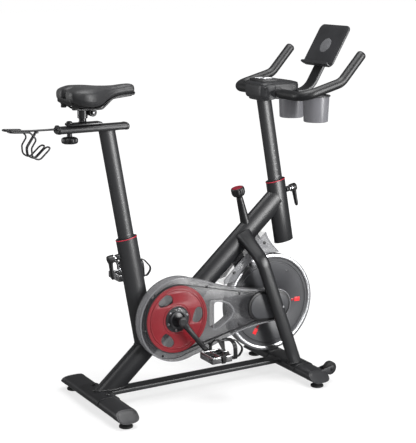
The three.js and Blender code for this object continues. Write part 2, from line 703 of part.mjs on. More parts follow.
// ---------------------------------------------------------------- brake
function fenderOutline(inset = 0) {
  const under = (x) => mainAt(x).z - (MAIN_TUBE.a + 1 + inset) / Math.cos(MAIN_SLOPE);
  const shape = new THREE.Shape();
  shape.moveTo(214, 398);
  shape.lineTo(214, under(214));
  shape.lineTo(400, under(400));
  shape.quadraticCurveTo(412, 541, 459, 499);
  shape.absarc(FLYWHEEL.x, FLYWHEEL.z, FENDER.clear, 1.4417, 2.55, false);
  return shape;
}

// The clear cover between the main tube and the flywheel, open where the wheel, the legs and the rod pass.
function fender() {
  const { half, wall } = FENDER;
  return plate(fenderOutline(), -half, half)
    .subtract(plate(fenderOutline(wall), -half + wall, half - wall))
    .subtract(rod(rodAt(430), rodAt(700), 11))
    .subtract(legSolid(2))
    .subtract(mirrored(legSolid(2)));
}

// The plastic cone round the brake rod, on top of the main tube.
function tensionBoot() {
  const ring = (z, radius) => oval(rodAt(z), Y_AXIS, rodAcross, radius, radius, 20);
  const cone = loft([ring(640, 18.5), ring(rodTop - 10, 12.5)]);
  const root = loft([ring(590, 19.5), ring(640, 18.5)]);
  return cone.add(root).subtract(mainOuter).subtract(rod(rodAt(560), rodAt(760), BRAKE_ROD_RADIUS + 2));
}

function brakeRod() {
  const stop = rod(rodAt(600), rodAt(590), BRAKE_ROD_RADIUS + 1.2, 12);
  return rod(rodAt(510), rodAt(rodTop + 4), BRAKE_ROD_RADIUS, 12).add(stop);
}

// The brake's knob, fluted round its grip.
function tensionKnob() {
  const flutes = 6;
  let knob = turned(
    [
      [0, 0],
      [18, 0],
      [21, 6],
      [KNOB.radius, 12],
      [KNOB.radius, KNOB.height - 3],
      [KNOB.radius - 3, KNOB.height],
      [0, KNOB.height],
    ],
    rodAt(rodTop),
    rodUp,
    16,
  );
  const middle = rodAt(rodTop).addScaledVector(rodUp, 18);
  for (let i = 0; i < flutes; i++) {
    const angle = (2 * Math.PI * i) / flutes;
    const out = vec(0, Math.cos(angle), 0).addScaledVector(rodAcross, Math.sin(angle));
    const at = middle.clone().addScaledVector(out, KNOB.radius + 2);
    const ends = [-9, 10].map((d) => at.clone().addScaledVector(rodUp, d));
    knob = knob.subtract(rod(...ends, 4, 6));
  }
  return knob.subtract(rod(rodAt(rodTop - 5), rodAt(rodTop + 4 + GAP), BRAKE_ROD_RADIUS + GAP, 12));
}

// The magnet carriage straddles the flywheel's rim and carries a felt pad above it.
function magnetCarriage() {
  const arc = (r0, r1, a0, a1) => {
    const shape = new THREE.Shape();
    shape.absarc(FLYWHEEL.x, FLYWHEEL.z, r1, a0, a1, false);
    shape.absarc(FLYWHEEL.x, FLYWHEEL.z, r0, a1, a0, true);
    return shape;
  };
  const [a0, a1] = [1.68, 2.12];
  const reach = FLYWHEEL.radius + PAD_GAP;
  const channel = plate(arc(170, reach + 5, a0, a1), -30, 30, 6);
  const slot = plate(arc(160, reach, a0 - 0.1, a1 + 0.1), -26, 26, 6);
  const end = rodAt(510 - GAP);
  return channel.subtract(slot).add(rod(end, rodAt(486), 8, 12));
}

// ---------------------------------------------------------------- locking pins and levers
function lockPin(axisPoint, facing) {
  const shank = pinRod(axisPoint, facing, PIN.from, PIN.to - 14, PIN.radius);
  return shank.add(pinRod(axisPoint, facing, 56, 61, 8));
}

// An L-shaped lever: a round head on the pin and a handle that hangs from it.
function lockLever(axisPoint, facing) {
  const at = (d) => axisPoint.clone().addScaledVector(postFront, facing * d);
  const down = postUp.clone().negate();
  const head = pinRod(axisPoint, facing, 61 + GAP, PIN.to + 6, 12);
  const ring = (d, out, w, t) =>
    oval(at(PIN.to - 2 + out).addScaledVector(down, d), Y_AXIS, postFront, w, t, 14, 2.6);
  const handle = loft([ring(2, 0, 9, 7), ring(20, 1, 8, 6), ring(70, 3, 6.5, 4.5), ring(76, 3, 4.5, 3)]);
  return head.add(handle).subtract(pinRod(axisPoint, facing, 40, PIN.to - 14 + GAP, PIN.radius + GAP));
}

// ---------------------------------------------------------------- saddle
function railSolid(grow = 0) {
  const at = (x) => vec(x, 0, RAIL.z);
  return bar(at(RAIL.x0), at(RAIL.x1), vec(0, 0, 1), RAIL.half + grow, RAIL.width + grow, 16, 3);
}

// The rail that the saddle slides on, with its bolt slot and the socket for the rack at the back.
function seatRail() {
  const capFront = loft([
    oval(vec(RAIL.x1, 0, RAIL.z), vec(0, 0, 1), Y_AXIS, RAIL.half, RAIL.width, 16, 3),
    oval(vec(RAIL.x1 + 5, 0, RAIL.z), vec(0, 0, 1), Y_AXIS, RAIL.half - 1, RAIL.width - 1, 16, 3),
    oval(vec(RAIL.x1 + 8, 0, RAIL.z), vec(0, 0, 1), Y_AXIS, RAIL.half - 4, RAIL.width - 4, 16, 3),
  ]);
  const socket = rod(vec(RAIL.x0 - 8, 0, RAIL.z + 3), vec(RAIL.x0 + 2, 0, RAIL.z + 3), 15.5, 20);
  const slot = box(SLIDER_X - 26, SLIDER_X + 86, -5, 5, RAIL.z - 30, RAIL.z + 30);
  const hollow = bar(vec(RAIL.x0 + 6, 0, RAIL.z), vec(RAIL.x1 - 6, 0, RAIL.z), vec(0, 0, 1), 10, 22.5, 16, 3);
  return railSolid().add(capFront).add(socket).subtract(hollow).subtract(slot);
}

function seatPost() {
  const top = seatAt(RAIL.z);
  return hollow(seatAt(SEAT_POST_BOTTOM), top, postFront, POST, 10).subtract(railSolid(GAP));
}

// Half of the dumbbell rack: one wire from the socket, back round a flat loop, down through the hanging
// cradle, and up.
function rackWire(side) {
  const inner = side * 4.2;
  const outer = side * 43;
  const front = RAIL.x0 - 8 - GAP;
  const z = RAIL.z + 5;
  const path = rounded(
    [
      [vec(front, inner, z), 0],
      [vec(-520, inner, z + 1), 40],
      [vec(-614, inner, z + 6), 16],
      [vec(-614, outer, z + 6), 16],
      [vec(-546, outer, z + 2), 14],
      [vec(-523, outer, 1003), 12],
      [vec(-542, outer, 975), 16],
      [vec(-540, outer, 946), 18],
      [vec(-516, outer, 931), 18],
      [vec(-472, outer, 971), 15],
      [vec(-472, inner, 971), 15],
      [vec(-516, inner, 931), 18],
      [vec(-540, inner, 946), 18],
      [vec(-542, inner, 972), 20],
      [vec(-508, inner, 1021), 0],
    ],
    2,
  );
  return sweep(path, RACK_WIRE, RACK_WIRE, Y_AXIS, 4);
}

function dumbbellRack() {
  const z = RAIL.z + 5.5;
  const weld = box(-512, -498, -7, 7, z - 9, z - 2);
  const bridge = box(-600, -592, -9, 9, z + 3, z + 6);
  return rackWire(-1).add(rackWire(1)).add(weld).add(bridge);
}

// The sliding carriage: a plate on the rail, the saddle stem, and the bolt that the knob below tightens.
function seatCarriage() {
  const z0 = RAIL.z + RAIL.half + GAP;
  const z = (z0 + CARRIAGE_TOP) / 2;
  const body = bar(vec(-392, 0, z), vec(-268, 0, z), vec(0, 0, 1), (CARRIAGE_TOP - z0) / 2, 22, 16, 5);
  const stem = rod(vec(STEM_X, 0, z0 + 1), vec(STEM_X, 0, 1086), STEM_RADIUS);
  const bolt = rod(vec(SLIDER_X, 0, RAIL.z - 36), vec(SLIDER_X, 0, z0 + 1), 4, 12);
  const domeProfile = [
    [0, 0],
    [12, 0],
    [11, 4],
    [6, 7],
    [0, 8],
  ];
  const dome = turned(domeProfile, vec(SLIDER_X, 0, CARRIAGE_TOP - 0.5), vec(0, 0, 1), 16);
  return body.add(stem).add(bolt).add(dome);
}

function sliderKnob() {
  const z = RAIL.z - RAIL.half - GAP;
  const lobes = 6;
  let knob = turned(
    [
      [4 + GAP, 0],
      [9, 0],
      [9, -12],
      [26, -14],
      [29, -18],
      [29, -30],
      [25, -35],
      [4 + GAP, -35],
      [4 + GAP, 0],
    ],
    vec(SLIDER_X, 0, z),
    vec(0, 0, 1),
    14,
  );
  for (let i = 0; i < lobes; i++) {
    const angle = (2 * Math.PI * i) / lobes;
    const at = (h) => vec(SLIDER_X + 34 * Math.cos(angle), 34 * Math.sin(angle), z + h);
    knob = knob.subtract(rod(at(-40), at(-10), 9, 6));
  }
  return knob;
}

// The clamp on the stem: a sleeve, and a barrel across the bike that the saddle tilts on.
function saddleClamp() {
  const sleeve = rod(vec(STEM_X, 0, 1058), vec(STEM_X, 0, 1088), 17.5, 20);
  const barrelAt = (y) => vec(SADDLE_PIVOT.x, y, SADDLE_PIVOT.z);
  const neck = box(STEM_X + 10, SADDLE_PIVOT.x, -10, 10, 1068, 1086);
  const bolt = rod(barrelAt(-36), barrelAt(36), 4, 12);
  const heads = rod(barrelAt(-36), barrelAt(-30), 8, 6).add(rod(barrelAt(30), barrelAt(36), 8, 6));
  return sleeve
    .add(rod(barrelAt(-11), barrelAt(11), 13, 20))
    .add(neck)
    .subtract(rod(vec(STEM_X, 0, 1040), vec(STEM_X, 0, 1086 + GAP), STEM_RADIUS + GAP))
    .add(bolt)
    .add(heads);
}

// The saddle's wire rails, with the two cradle discs that the clamp's bolt squeezes.
function saddleRails() {
  const side = (s) => {
    const path = rounded(
      [
        [vec(-386, 33 * s, 1108), 0],
        [vec(-360, 29 * s, 1091), 14],
        [vec(-330, 25 * s, 1089), 14],
        [vec(-270, 25 * s, 1089), 20],
        [vec(-226, 17 * s, 1122), 20],
        [vec(-150, 9 * s, 1128), 0],
      ],
      2,
    );
    return sweep(path, 3.5, 3.5, Y_AXIS, 5);
  };
  const disc = (s) => {
    const at = (y) => vec(SADDLE_PIVOT.x, s * y, SADDLE_PIVOT.z);
    return rod(at(12), at(29), 14, 14).subtract(rod(at(0), at(40), 4 + GAP + 0.2, 10));
  };
  const bridge = box(-156, -148, -10, 10, 1124.5, 1131.5);
  return side(1).add(side(-1)).add(disc(1)).add(disc(-1)).add(bridge);
}

// Half widths and heights of the saddle along its length: [x, half width, low z, high z].
const SADDLE_STATIONS = [
  [-406, 56, 1124, 1150],
  [-399, 74, 1112, 1162],
  [-374, 89, 1103, 1168],
  [-345, 92, 1097, 1168],
  [-315, 84, 1095, 1167],
  [-285, 66, 1099, 1165],
  [-255, 47, 1112, 1164],
  [-220, 34, 1124, 1164],
  [-180, 27, 1129, 1167],
  [-152, 23, 1129, 1168],
  [-141, 19, 1130, 1164],
  [-136, 13, 1134, 1158],
];
const SADDLE_SPLIT = 6; // the cushion starts this far above the base's bottom line

function saddleLoft(bottom, top, shrink, sides) {
  const ring = ([x, w, low, high]) => {
    const [z0, z1] = [bottom(low, high), top(low, high)];
    return oval(vec(x, 0, (z0 + z1) / 2), Y_AXIS, vec(0, 0, 1), w * shrink, (z1 - z0) / 2, sides, 3);
  };
  return loft(SADDLE_STATIONS.map(ring));
}

const saddleCushion = () => saddleLoft((low) => low + SADDLE_SPLIT, (_, high) => high, 1, 14);

// The base shell under the cushion, with a rubber bumper at each side of the back.
function saddleBase() {
  const shell = saddleLoft((low) => low - 3, (low) => low + SADDLE_SPLIT - GAP, 0.9, 10);
  const bumper = (s) => rod(vec(-383, 46 * s, 1093), vec(-383, 46 * s, 1112), 10, 12);
  return shell.add(bumper(1)).add(bumper(-1)).subtract(saddleCushion()).subtract(saddleRails());
}

// ---------------------------------------------------------------- handlebar
const tipDirection = vec(92, 0, 101).normalize();
const barTip = (side, beyond) => vec(684, side * BAR_HALF, 1253).addScaledVector(tipDirection, beyond);

function barCorners(side, beyond) {
  const y = side * BAR_HALF;
  return [
    [vec(BAR_X, y, BAR_Z), 48],
    [vec(592, y, 1152), 60],
    [barTip(side, beyond), 0],
  ];
}

function handlebar(grow = 0, beyond = grow, sides = 10) {
  const corners = [...barCorners(-1, beyond).reverse(), ...barCorners(1, beyond)];
  return sweep(rounded(corners, 3), BAR_RADIUS + grow, BAR_RADIUS + grow, Y_AXIS, sides);
}

// A foam grip: it starts on the straight crossbar and runs round the corner to the tip.
function grip() {
  const path = rounded([[vec(BAR_X, -95, BAR_Z), 0], ...barCorners(-1, 4)], 3);
  return sweep(path, GRIP_RADIUS, GRIP_RADIUS, vec(0, 0, 1), 10).subtract(handlebar(GAP));
}

function handlebarPost() {
  return hollow(headAt(HEAD_POST_BOTTOM), headAt(HEAD_POST_TOP), postFront, POST, 10);
}

// The console housing: each section is [x, half width, low z, high z].
function consoleHousing() {
  const stations = [
    [358, 52, 1092, 1138],
    [364, 60, 1086, 1146],
    [385, 65, 1085, 1149],
    [440, 66, 1085, 1150],
    [470, 66, 1098, 1150],
    [505, 64, 1108, 1149],
    [520, 60, 1111, 1144],
    [524, 52, 1115, 1138],
  ];
  const ring = ([x, w, low, high]) =>
    oval(vec(x, 0, (low + high) / 2), Y_AXIS, vec(0, 0, 1), w, (high - low) / 2, 16, 5);
  const body = loft(stations.map(ring));
  const monitor = bar(vec(374, 0, 1153), vec(446, 0, 1153), Y_AXIS, 44, 6.5, 16, 6);
  return body
    .add(monitor)
    .subtract(handlebar(GAP))
    .subtract(bar(headAt(1000), headAt(HEAD_POST_TOP + GAP), postFront, ...grown(POST)))
    .subtract(rod(vec(BAR_X, -95, BAR_Z), vec(BAR_X, -60, BAR_Z), GRIP_RADIUS + GAP));
}

// The tray in front of the console: a neck and two rings that the cups hang in.
function cupTray() {
  const { x, y, radius, z1 } = CUP;
  const z = [z1 + GAP, z1 + 7];
  const ring = (s) => rod(vec(x, s * y, z[0]), vec(x, s * y, z[1] - 2), radius + 4, 20);
  const hole = (s) => rod(vec(x, s * y, z[0] - 5), vec(x, s * y, z[1] + 5), radius - CUP.wall, 16);
  const neck = box(496, x, -40, 40, z[0], z[1]);
  const post = box(496, 516, -30, 30, z[0], 1107);
  const pad = box(x - 12, x + 14, -36, 36, z[0], z[1] + 3);
  const tray = ring(1).add(ring(-1)).add(neck).add(post).add(pad);
  return tray.subtract(hole(1)).subtract(hole(-1)).subtract(consoleSolid);
}

// A bottle cup that hangs by its rim in a ring of the tray.
function cup() {
  const { x, y, radius, foot: low, z0, z1, wall } = CUP;
  const height = z1 - z0;
  const profile = [
    [0, 0],
    [low - 3, 0],
    [low, 4],
    [radius, height],
    [radius - wall, height],
    [low - wall, 6],
    [0, 4],
  ];
  return turned(profile, vec(x, -y, z0), vec(0, 0, 1), 16);
}

const tabletUp = vec(Math.sin(TABLET.lean), 0, Math.cos(TABLET.lean));
const tabletFront = vec(Math.cos(TABLET.lean), 0, -Math.sin(TABLET.lean));
const tabletAt = (up, front) =>
  vec(TABLET.x, 0, TABLET.z).addScaledVector(tabletUp, up).addScaledVector(tabletFront, front);
const tabletPivot = tabletAt(-52, 17);

// The arm that carries the tablet plate: a flat strip that curves up from the tray.
function tabletArm() {
  const path = rounded(
    [
      [vec(540, 0, 1103), 0],
      [vec(607, 0, 1104), 70],
      [tabletPivot.clone().addScaledVector(tabletUp, -4), 0],
    ],
    6,
  );
  const strip = sweep(path, 5, 28, Y_AXIS, 12, 5);
  const at = (y) => tabletPivot.clone().setY(y);
  const barrel = rod(at(-18), at(18), 9, 16);
  const pin = rod(at(-31), at(31), 3, 10);
  const clear = [-1, 1].map((s) => rod(at(18.5 * s), at(31 * s), 10.5, 16));
  const underside = box(500, 700, -60, 60, 1000, 1098.5);
  return strip.add(barrel).subtract(clear[0]).subtract(clear[1]).add(pin).subtract(underside);
}

// The plate that a phone or tablet leans on, with a ledge and lip below and two hinge ears behind.
function tabletPlate() {
  const half = { y: TABLET.width / 2, u: TABLET.height / 2 };
  const back = bar(tabletAt(0, 0), tabletAt(0, TABLET.thickness), tabletUp, half.u, half.y, 20, 9);
  const low = 4 - half.u;
  const ledge = bar(tabletAt(low, -14), tabletAt(low, 2), tabletUp, 3.5, half.y - 8, 12, 6);
  const lip = bar(tabletAt(low + 2, -17), tabletAt(low + 2, -12), tabletUp, 5.5, half.y - 8, 12, 6);
  const ear = (s) => {
    const at = (y) => tabletPivot.clone().setY(y * s);
    const rootEnds = [TABLET.thickness - 1, 17].map((n) => tabletAt(-52, n).setY(23 * s));
    const root = bar(...rootEnds, tabletUp, 9, 3.8, 8, 6);
    return rod(at(19.2), at(27), 9, 16).add(root).subtract(rod(at(0), at(40), 3 + GAP, 12));
  };
  return back.add(ledge).add(lip).add(ear(1)).add(ear(-1));
}

// ---------------------------------------------------------------- assembly
add("main_tube", mainTube(), "frame");
add("seat_tube", seatTube(), "frame");
add("head_tube", headTube(), "frame");
addPair("front_leg", frontLeg(), "frame");
add("base_rail", baseRail(), "frame");
add("rear_stabiliser", rearStabiliser(), "frame");
add("front_stabiliser", stabiliser(FRONT_X), "frame");
addPair("front_cap", wheelCap(), "plastic");
addPair("transport_wheel", transportWheel(), "rubber");
addPair("rear_foot", foot(REAR_X, -FOOT_Y), "rubber");
addPair("front_foot", foot(FRONT_X, -FOOT_Y), "rubber");

add("bottom_bracket", bottomBracket(), "steel");
add("crank_pulley", crankPulley(), "red");
add("crank_arm_right", crankArm(1), "plastic");
add("crank_arm_left", crankArm(-1), "plastic");
add("pedal_right", pedal(1), "steel");
add("pedal_left", pedal(-1), "steel");
add("toe_cage_right", toeCage(1), "plastic");
add("toe_cage_left", toeCage(-1), "plastic");
add("drive_belt", driveBelt(), "rubber");
add("flywheel", flywheel(), "rim");
add("flywheel_axle", rod(hubAt(-LEG.y - LEG.b + 2), hubAt(LEG.y + LEG.b - 2), AXLE_RADIUS, 16), "steel");
add("belt_guard_outer", guardOuter(), "smoke");
add("belt_guard_inner", guardInner(), "smoke");
add("hub_cover", hubCover(), "plastic");

add("fender", fender(), "smoke");
add("tension_boot", tensionBoot(), "plastic");
add("brake_rod", brakeRod(), "steel");
add("tension_knob", tensionKnob(), "plastic");
add("magnet_carriage", magnetCarriage(), "steel");

add("seat_bushing", bushing(seatAt, SEAT_TUBE_TOP).subtract(pinRod(seatAt(SEAT_PIN_Z), -1, 0, 60, 6)), "red");
add("head_bushing", bushing(headAt, HEAD_TUBE_TOP).subtract(pinRod(headAt(HEAD_PIN_Z), 1, 0, 60, 6)), "red");
add("seat_pin", lockPin(seatAt(SEAT_PIN_Z), -1), "steel");
add("seat_lever", lockLever(seatAt(SEAT_PIN_Z), -1), "plastic");
add("head_pin", lockPin(headAt(HEAD_PIN_Z), 1), "steel");
add("head_lever", lockLever(headAt(HEAD_PIN_Z), 1), "plastic");

add("seat_post", seatPost(), "frame");
add("seat_rail", seatRail(), "frame");
add("dumbbell_rack", dumbbellRack(), "frame");
add("seat_carriage", seatCarriage(), "frame");
add("slider_knob", sliderKnob(), "plastic");
add("saddle_clamp", saddleClamp(), "frame");
add("saddle_rails", saddleRails(), "frame");
add("saddle_base", saddleBase(), "plastic");
add("saddle_cushion", saddleCushion(), "leather");

const consoleSolid = consoleHousing();
add("handlebar_post", handlebarPost(), "frame");
add("handlebar", handlebar().subtract(handlebar(-2.5, 5, 6)), "frame");
addPair("grip", grip(), "foam");
add("console", consoleSolid, "plastic");
add("cup_tray", cupTray(), "plastic");
addPair("cup", cup(), "smoke");
add("tablet_arm", tabletArm(), "plastic");
add("tablet_plate", tabletPlate(), "plastic");

bike.position.x = -CRANK_TO_MIDDLE;
const part = new THREE.Group();
part.add(bike);

export default part;
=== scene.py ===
import json
import math

import bmesh
import bpy
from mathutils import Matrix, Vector


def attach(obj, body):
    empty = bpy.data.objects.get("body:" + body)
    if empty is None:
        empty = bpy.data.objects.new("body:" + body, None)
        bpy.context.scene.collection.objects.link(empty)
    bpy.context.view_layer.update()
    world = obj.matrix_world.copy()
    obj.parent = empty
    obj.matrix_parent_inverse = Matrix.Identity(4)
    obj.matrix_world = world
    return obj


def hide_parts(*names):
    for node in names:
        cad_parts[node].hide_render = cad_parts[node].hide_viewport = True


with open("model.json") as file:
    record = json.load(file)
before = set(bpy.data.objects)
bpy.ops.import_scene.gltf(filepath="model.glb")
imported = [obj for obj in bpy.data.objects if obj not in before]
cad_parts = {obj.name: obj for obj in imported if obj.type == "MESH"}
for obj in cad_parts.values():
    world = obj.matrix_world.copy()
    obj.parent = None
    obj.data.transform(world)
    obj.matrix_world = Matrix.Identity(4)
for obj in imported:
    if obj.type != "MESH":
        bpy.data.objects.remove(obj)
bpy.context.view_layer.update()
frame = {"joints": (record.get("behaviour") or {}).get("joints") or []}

JOINTS = {joint["name"]: joint for joint in frame["joints"]}

# ------------------------------------------------------------------ driving dimensions, in millimetres
# X is measured forward from the crank axis, Y to the rider's left, and Z up from the floor.
MM = 0.001
CRANK_X = JOINTS["crank_spin"]["pos_m"][0]
CRANK_Z = JOINTS["crank_spin"]["pos_m"][2] / MM
HUB_X = (JOINTS["flywheel_spin"]["pos_m"][0] - CRANK_X) / MM
HUB_Z = JOINTS["flywheel_spin"]["pos_m"][2] / MM

HANDS = ((-1, "right"), (1, "left"))
CRANK_HANDS = ((1, "right"), (-1, "left"))  # the sign is the arm's, along the crank's angle

POST_LEAN = math.radians(10)
SEAT_AXIS_X, HEAD_AXIS_X, AXIS_Z = -153, 510, 500
MAIN_SLOPE = math.radians(41.6)
MAIN_X, MAIN_Z = -69, 225
OUTER_TUBE = (41, 23)
POST = (31, 16)
MAIN_TUBE = (44, 25)
SEAT_TUBE_TOP, HEAD_TUBE_TOP, HEAD_TUBE_BOTTOM = 615, 767, 528
COLLAR = 4
SEAT_PIN_Z, HEAD_PIN_Z = 559, 721
REAR_X, FRONT_X = -295, 518
STABILISER_Z, STABILISER_A, STABILISER_HALF = 42.5, 42, 19.5
STABILISER_Y, CAP_REACH, CAP_CUT, STABILISER_POWER = 200, 258, 45, 2.8
FOOT_Y = 220
LEG_A, LEG_B, LEG_Y = 26, 14, 96
RAIL_LEVEL, RAIL_INSET = 52, 38
WHEEL_OUT, WHEEL_Y, WHEEL_Z = 68, 205, 58
PULLEY_RADIUS, SMALL_PULLEY_RADIUS = 126, 31.5
FENDER_RADIUS, SHOE_RADIUS, SHOE_INNER = 202, 203.5, 171
CRANK_LENGTH = 170
CRANK_ANGLE = math.radians(-51.2)
ARM_Y, ARM_THICKNESS = 98, 13
PEDAL_GAP, PEDAL_WIDTH, PEDAL_LENGTH, PEDAL_HEIGHT = 8, 92, 84, 24
ROD_LEAN = math.radians(15)
KNOB_X, KNOB_Z, KNOB_HEIGHT = 296, 742, 34
RAIL_X0, RAIL_X1, RAIL_Z, RAIL_HALF, RAIL_WIDTH = -426, -172, 1021, 12.5, 25
RACK_WIRE = 3
STEM_X, SLIDER_X = -334, -384
SADDLE_PIVOT = (-306, 1078)
BAR_X, BAR_Z, BAR_HALF, GRIP_RADIUS = 425, 1108, 230, 18
CUP_X, CUP_Y, CUP_Z0, CUP_Z1, CUP_RADIUS, CUP_FOOT = 588, 81, 993, 1088, 50, 46
TABLET_X, TABLET_Z, TABLET_WIDTH, TABLET_HEIGHT, TABLET_LEAN = 687, 1271, 186, 174, math.radians(31)

X, Y, Z = Vector((1, 0, 0)), Vector((0, 1, 0)), Vector((0, 0, 1))
POST_UP = Vector((-math.sin(POST_LEAN), 0, math.cos(POST_LEAN)))
POST_FRONT = Vector((math.cos(POST_LEAN), 0, math.sin(POST_LEAN)))
MAIN_UP = Vector((math.cos(MAIN_SLOPE), 0, math.sin(MAIN_SLOPE)))
MAIN_ACROSS = Vector((-math.sin(MAIN_SLOPE), 0, math.cos(MAIN_SLOPE)))
ROD_UP = Vector((-math.sin(ROD_LEAN), 0, math.cos(ROD_LEAN)))
TABLET_UP = Vector((math.sin(TABLET_LEAN), 0, math.cos(TABLET_LEAN)))
TABLET_FRONT = Vector((math.cos(TABLET_LEAN), 0, -math.sin(TABLET_LEAN)))


def V(x, y, z):
    return Vector((x, y, z))


CRANK, HUB = V(0, 0, CRANK_Z), V(HUB_X, 0, HUB_Z)


def seat_at(z):
    return V(SEAT_AXIS_X - (z - AXIS_Z) * math.tan(POST_LEAN), 0, z)


def head_at(z):
    return V(HEAD_AXIS_X - (z - AXIS_Z) * math.tan(POST_LEAN), 0, z)


def main_at(x):
    return V(x, 0, MAIN_Z + (x - MAIN_X) * math.tan(MAIN_SLOPE))


def rod_at(z):
    return V(KNOB_X + (KNOB_Z - z) * math.tan(ROD_LEAN), 0, z)


# ------------------------------------------------------------------ mesh tools
def place(p):
    """A point given in millimetres from the crank axis, as metres in the frame."""
    return (CRANK_X + p[0] * MM, p[1] * MM, p[2] * MM)


def link(obj):
    bpy.context.scene.collection.objects.link(obj)


def mesh(name, points, faces):
    data = bpy.data.meshes.new(name)
    data.from_pydata([place(p) for p in points], [], faces)
    bm = bmesh.new()
    bm.from_mesh(data)
    bmesh.ops.remove_doubles(bm, verts=bm.verts, dist=2e-6)
    bmesh.ops.recalc_face_normals(bm, faces=bm.faces)
    bm.to_mesh(data)
    bm.free()
    obj = bpy.data.objects.new(name, data)
    link(obj)
    return obj


def oval(centre, u, v, a, b, sides=48, power=2.0):
    """A ring of points: an ellipse at power 2, and nearer to a rectangle as the power grows."""
    ring = []
    for i in range(sides):
        t = 2 * math.pi * i / sides
        c, s = math.cos(t), math.sin(t)
        cu = math.copysign(abs(c) ** (2 / power), c)
        sv = math.copysign(abs(s) ** (2 / power), s)
        ring.append(centre + u * (a * cu) + v * (b * sv))
    return ring


def loft(name, rings, loop=False):
    """Joins rings of points into a skin, with flat ends unless it is a loop."""
    count = len(rings[0])
    points = [p for ring in rings for p in ring]
    faces = []
    for r in range(len(rings) if loop else len(rings) - 1):
        low, high = r * count, ((r + 1) % len(rings)) * count
        for i in range(count):
            j = (i + 1) % count
            faces.append((low + i, low + j, high + j, high + i))
    if not loop:
        last = (len(rings) - 1) * count
        faces.append(tuple(range(count))[::-1])
        faces.append(tuple(range(last, last + count)))
    return mesh(name, points, faces)


def bar(name, start, end, u, a, b, sides=48, power=2.0, round_over=0.0):
    """A straight bar with an oval section: a along u, b along the third axis; its ends are rounded over."""
    along = (end - start).normalized()
    v = along.cross(u).normalized()
    stations = [(0, 0)]
    if round_over:
        turns = [math.radians(t) for t in (0, 30, 60, 90)]
        stations = [(round_over * (1 - math.sin(t)), round_over * (1 - math.cos(t))) for t in turns[::-1]]
    rings = [oval(start + along * d, u, v, a - s, b - s, sides, power) for d, s in stations]
    rings += [oval(end - along * d, u, v, a - s, b - s, sides, power) for d, s in stations[::-1]]
    return loft(name, rings)


def rod(name, start, end, radius, sides=32, round_over=0.0):
    along = (end - start).normalized()
    u = X.copy() if abs(along.y) > 0.9 else Y.cross(along).normalized()
    return bar(name, start, end, u, radius, radius, sides, 2.0, round_over)


def rounded(corners, steps=8):
    """Points of a path whose corners are rounded: corners are (point, radius)."""
    path = [corners[0][0].copy()]
    for i in range(1, len(corners) - 1):
        corner, radius = corners[i]
        before = (corners[i - 1][0] - corner).normalized()
        after = (corners[i + 1][0] - corner).normalized()
        half = before.angle(after) / 2
        start, end = corner + before * (radius / math.tan(half)), corner + after * (radius / math.tan(half))
        centre = corner + (before + after).normalized() * (radius / math.sin(half))
        u, v = start - centre, end - centre
        turn = u.angle(v)
        for s in range(steps + 1):
            t = s / steps
            near, far = math.sin((1 - t) * turn) / math.sin(turn), math.sin(t * turn) / math.sin(turn)
            path.append(centre + u * near + v * far)
    path.append(corners[-1][0].copy())
    return path


def sweep(name, path, a, b, side, sides=20, power=2.0, loop=False, tip=0.0, swell=None):
    """Sweeps an oval along a path; b lies along side at the start. tip rounds both ends by that much."""
    rings = []
    v = side.copy()
    count = len(path)
    for i, point in enumerate(path):
        before = path[(i - 1) % count if loop else max(i - 1, 0)]
        after = path[(i + 1) % count if loop else min(i + 1, count - 1)]
        back = (point - before).normalized()
        ahead = (after - point).normalized()
        along = (back + ahead).normalized()
        v = (v - along * v.dot(along)).normalized()
        u = v.cross(along).normalized()
        rings.append((point, u, v.copy(), along))

    def tip_ring(ring, degrees, way):
        point, u, v0, along = ring
        t = math.radians(degrees)
        shrink = tip * (1 - math.cos(t))
        return oval(point + along * (way * tip * math.sin(t)), u, v0, max(a - shrink, 0.4),
                    max(b - shrink, 0.4), sides, power)

    skin = [tip_ring(rings[0], t, -1) for t in (90, 60, 35, 15)] if tip else []
    for i, (point, u, v0, along) in enumerate(rings):
        size = swell[i] if swell else 1
        skin.append(oval(point, u, v0, a * size, b * size, sides, power))
    skin += [tip_ring(rings[-1], t, 1) for t in (15, 35, 60, 90)] if tip else []
    return loft(name, skin, loop)


def turned(name, profile, origin, axis, sides=64):
    """A turned piece from points (radius, height along the axis), closed on the axis or on itself."""
    axis = axis.normalized()
    u = X.copy() if abs(axis.y) > 0.9 else Y.cross(axis).normalized()
    v = axis.cross(u).normalized()
    count = len(profile)
    points, faces = [], []
    for i in range(sides):
        t = 2 * math.pi * i / sides
        out = u * math.cos(t) + v * math.sin(t)
        points += [origin + out * r + axis * h for r, h in profile]
    closed = profile[0] == profile[-1]
    for i in range(sides):
        j = (i + 1) % sides
        for k in range(count - 1):
            a, b, c, d = i * count + k, i * count + k + 1, j * count + k + 1, j * count + k
            if profile[k][0] == 0 and not closed:
                faces.append((a, b, c))
            elif profile[k + 1][0] == 0 and not closed:
                faces.append((a, b, d))
            else:
                faces.append((a, b, c, d))
    return mesh(name, points, faces)


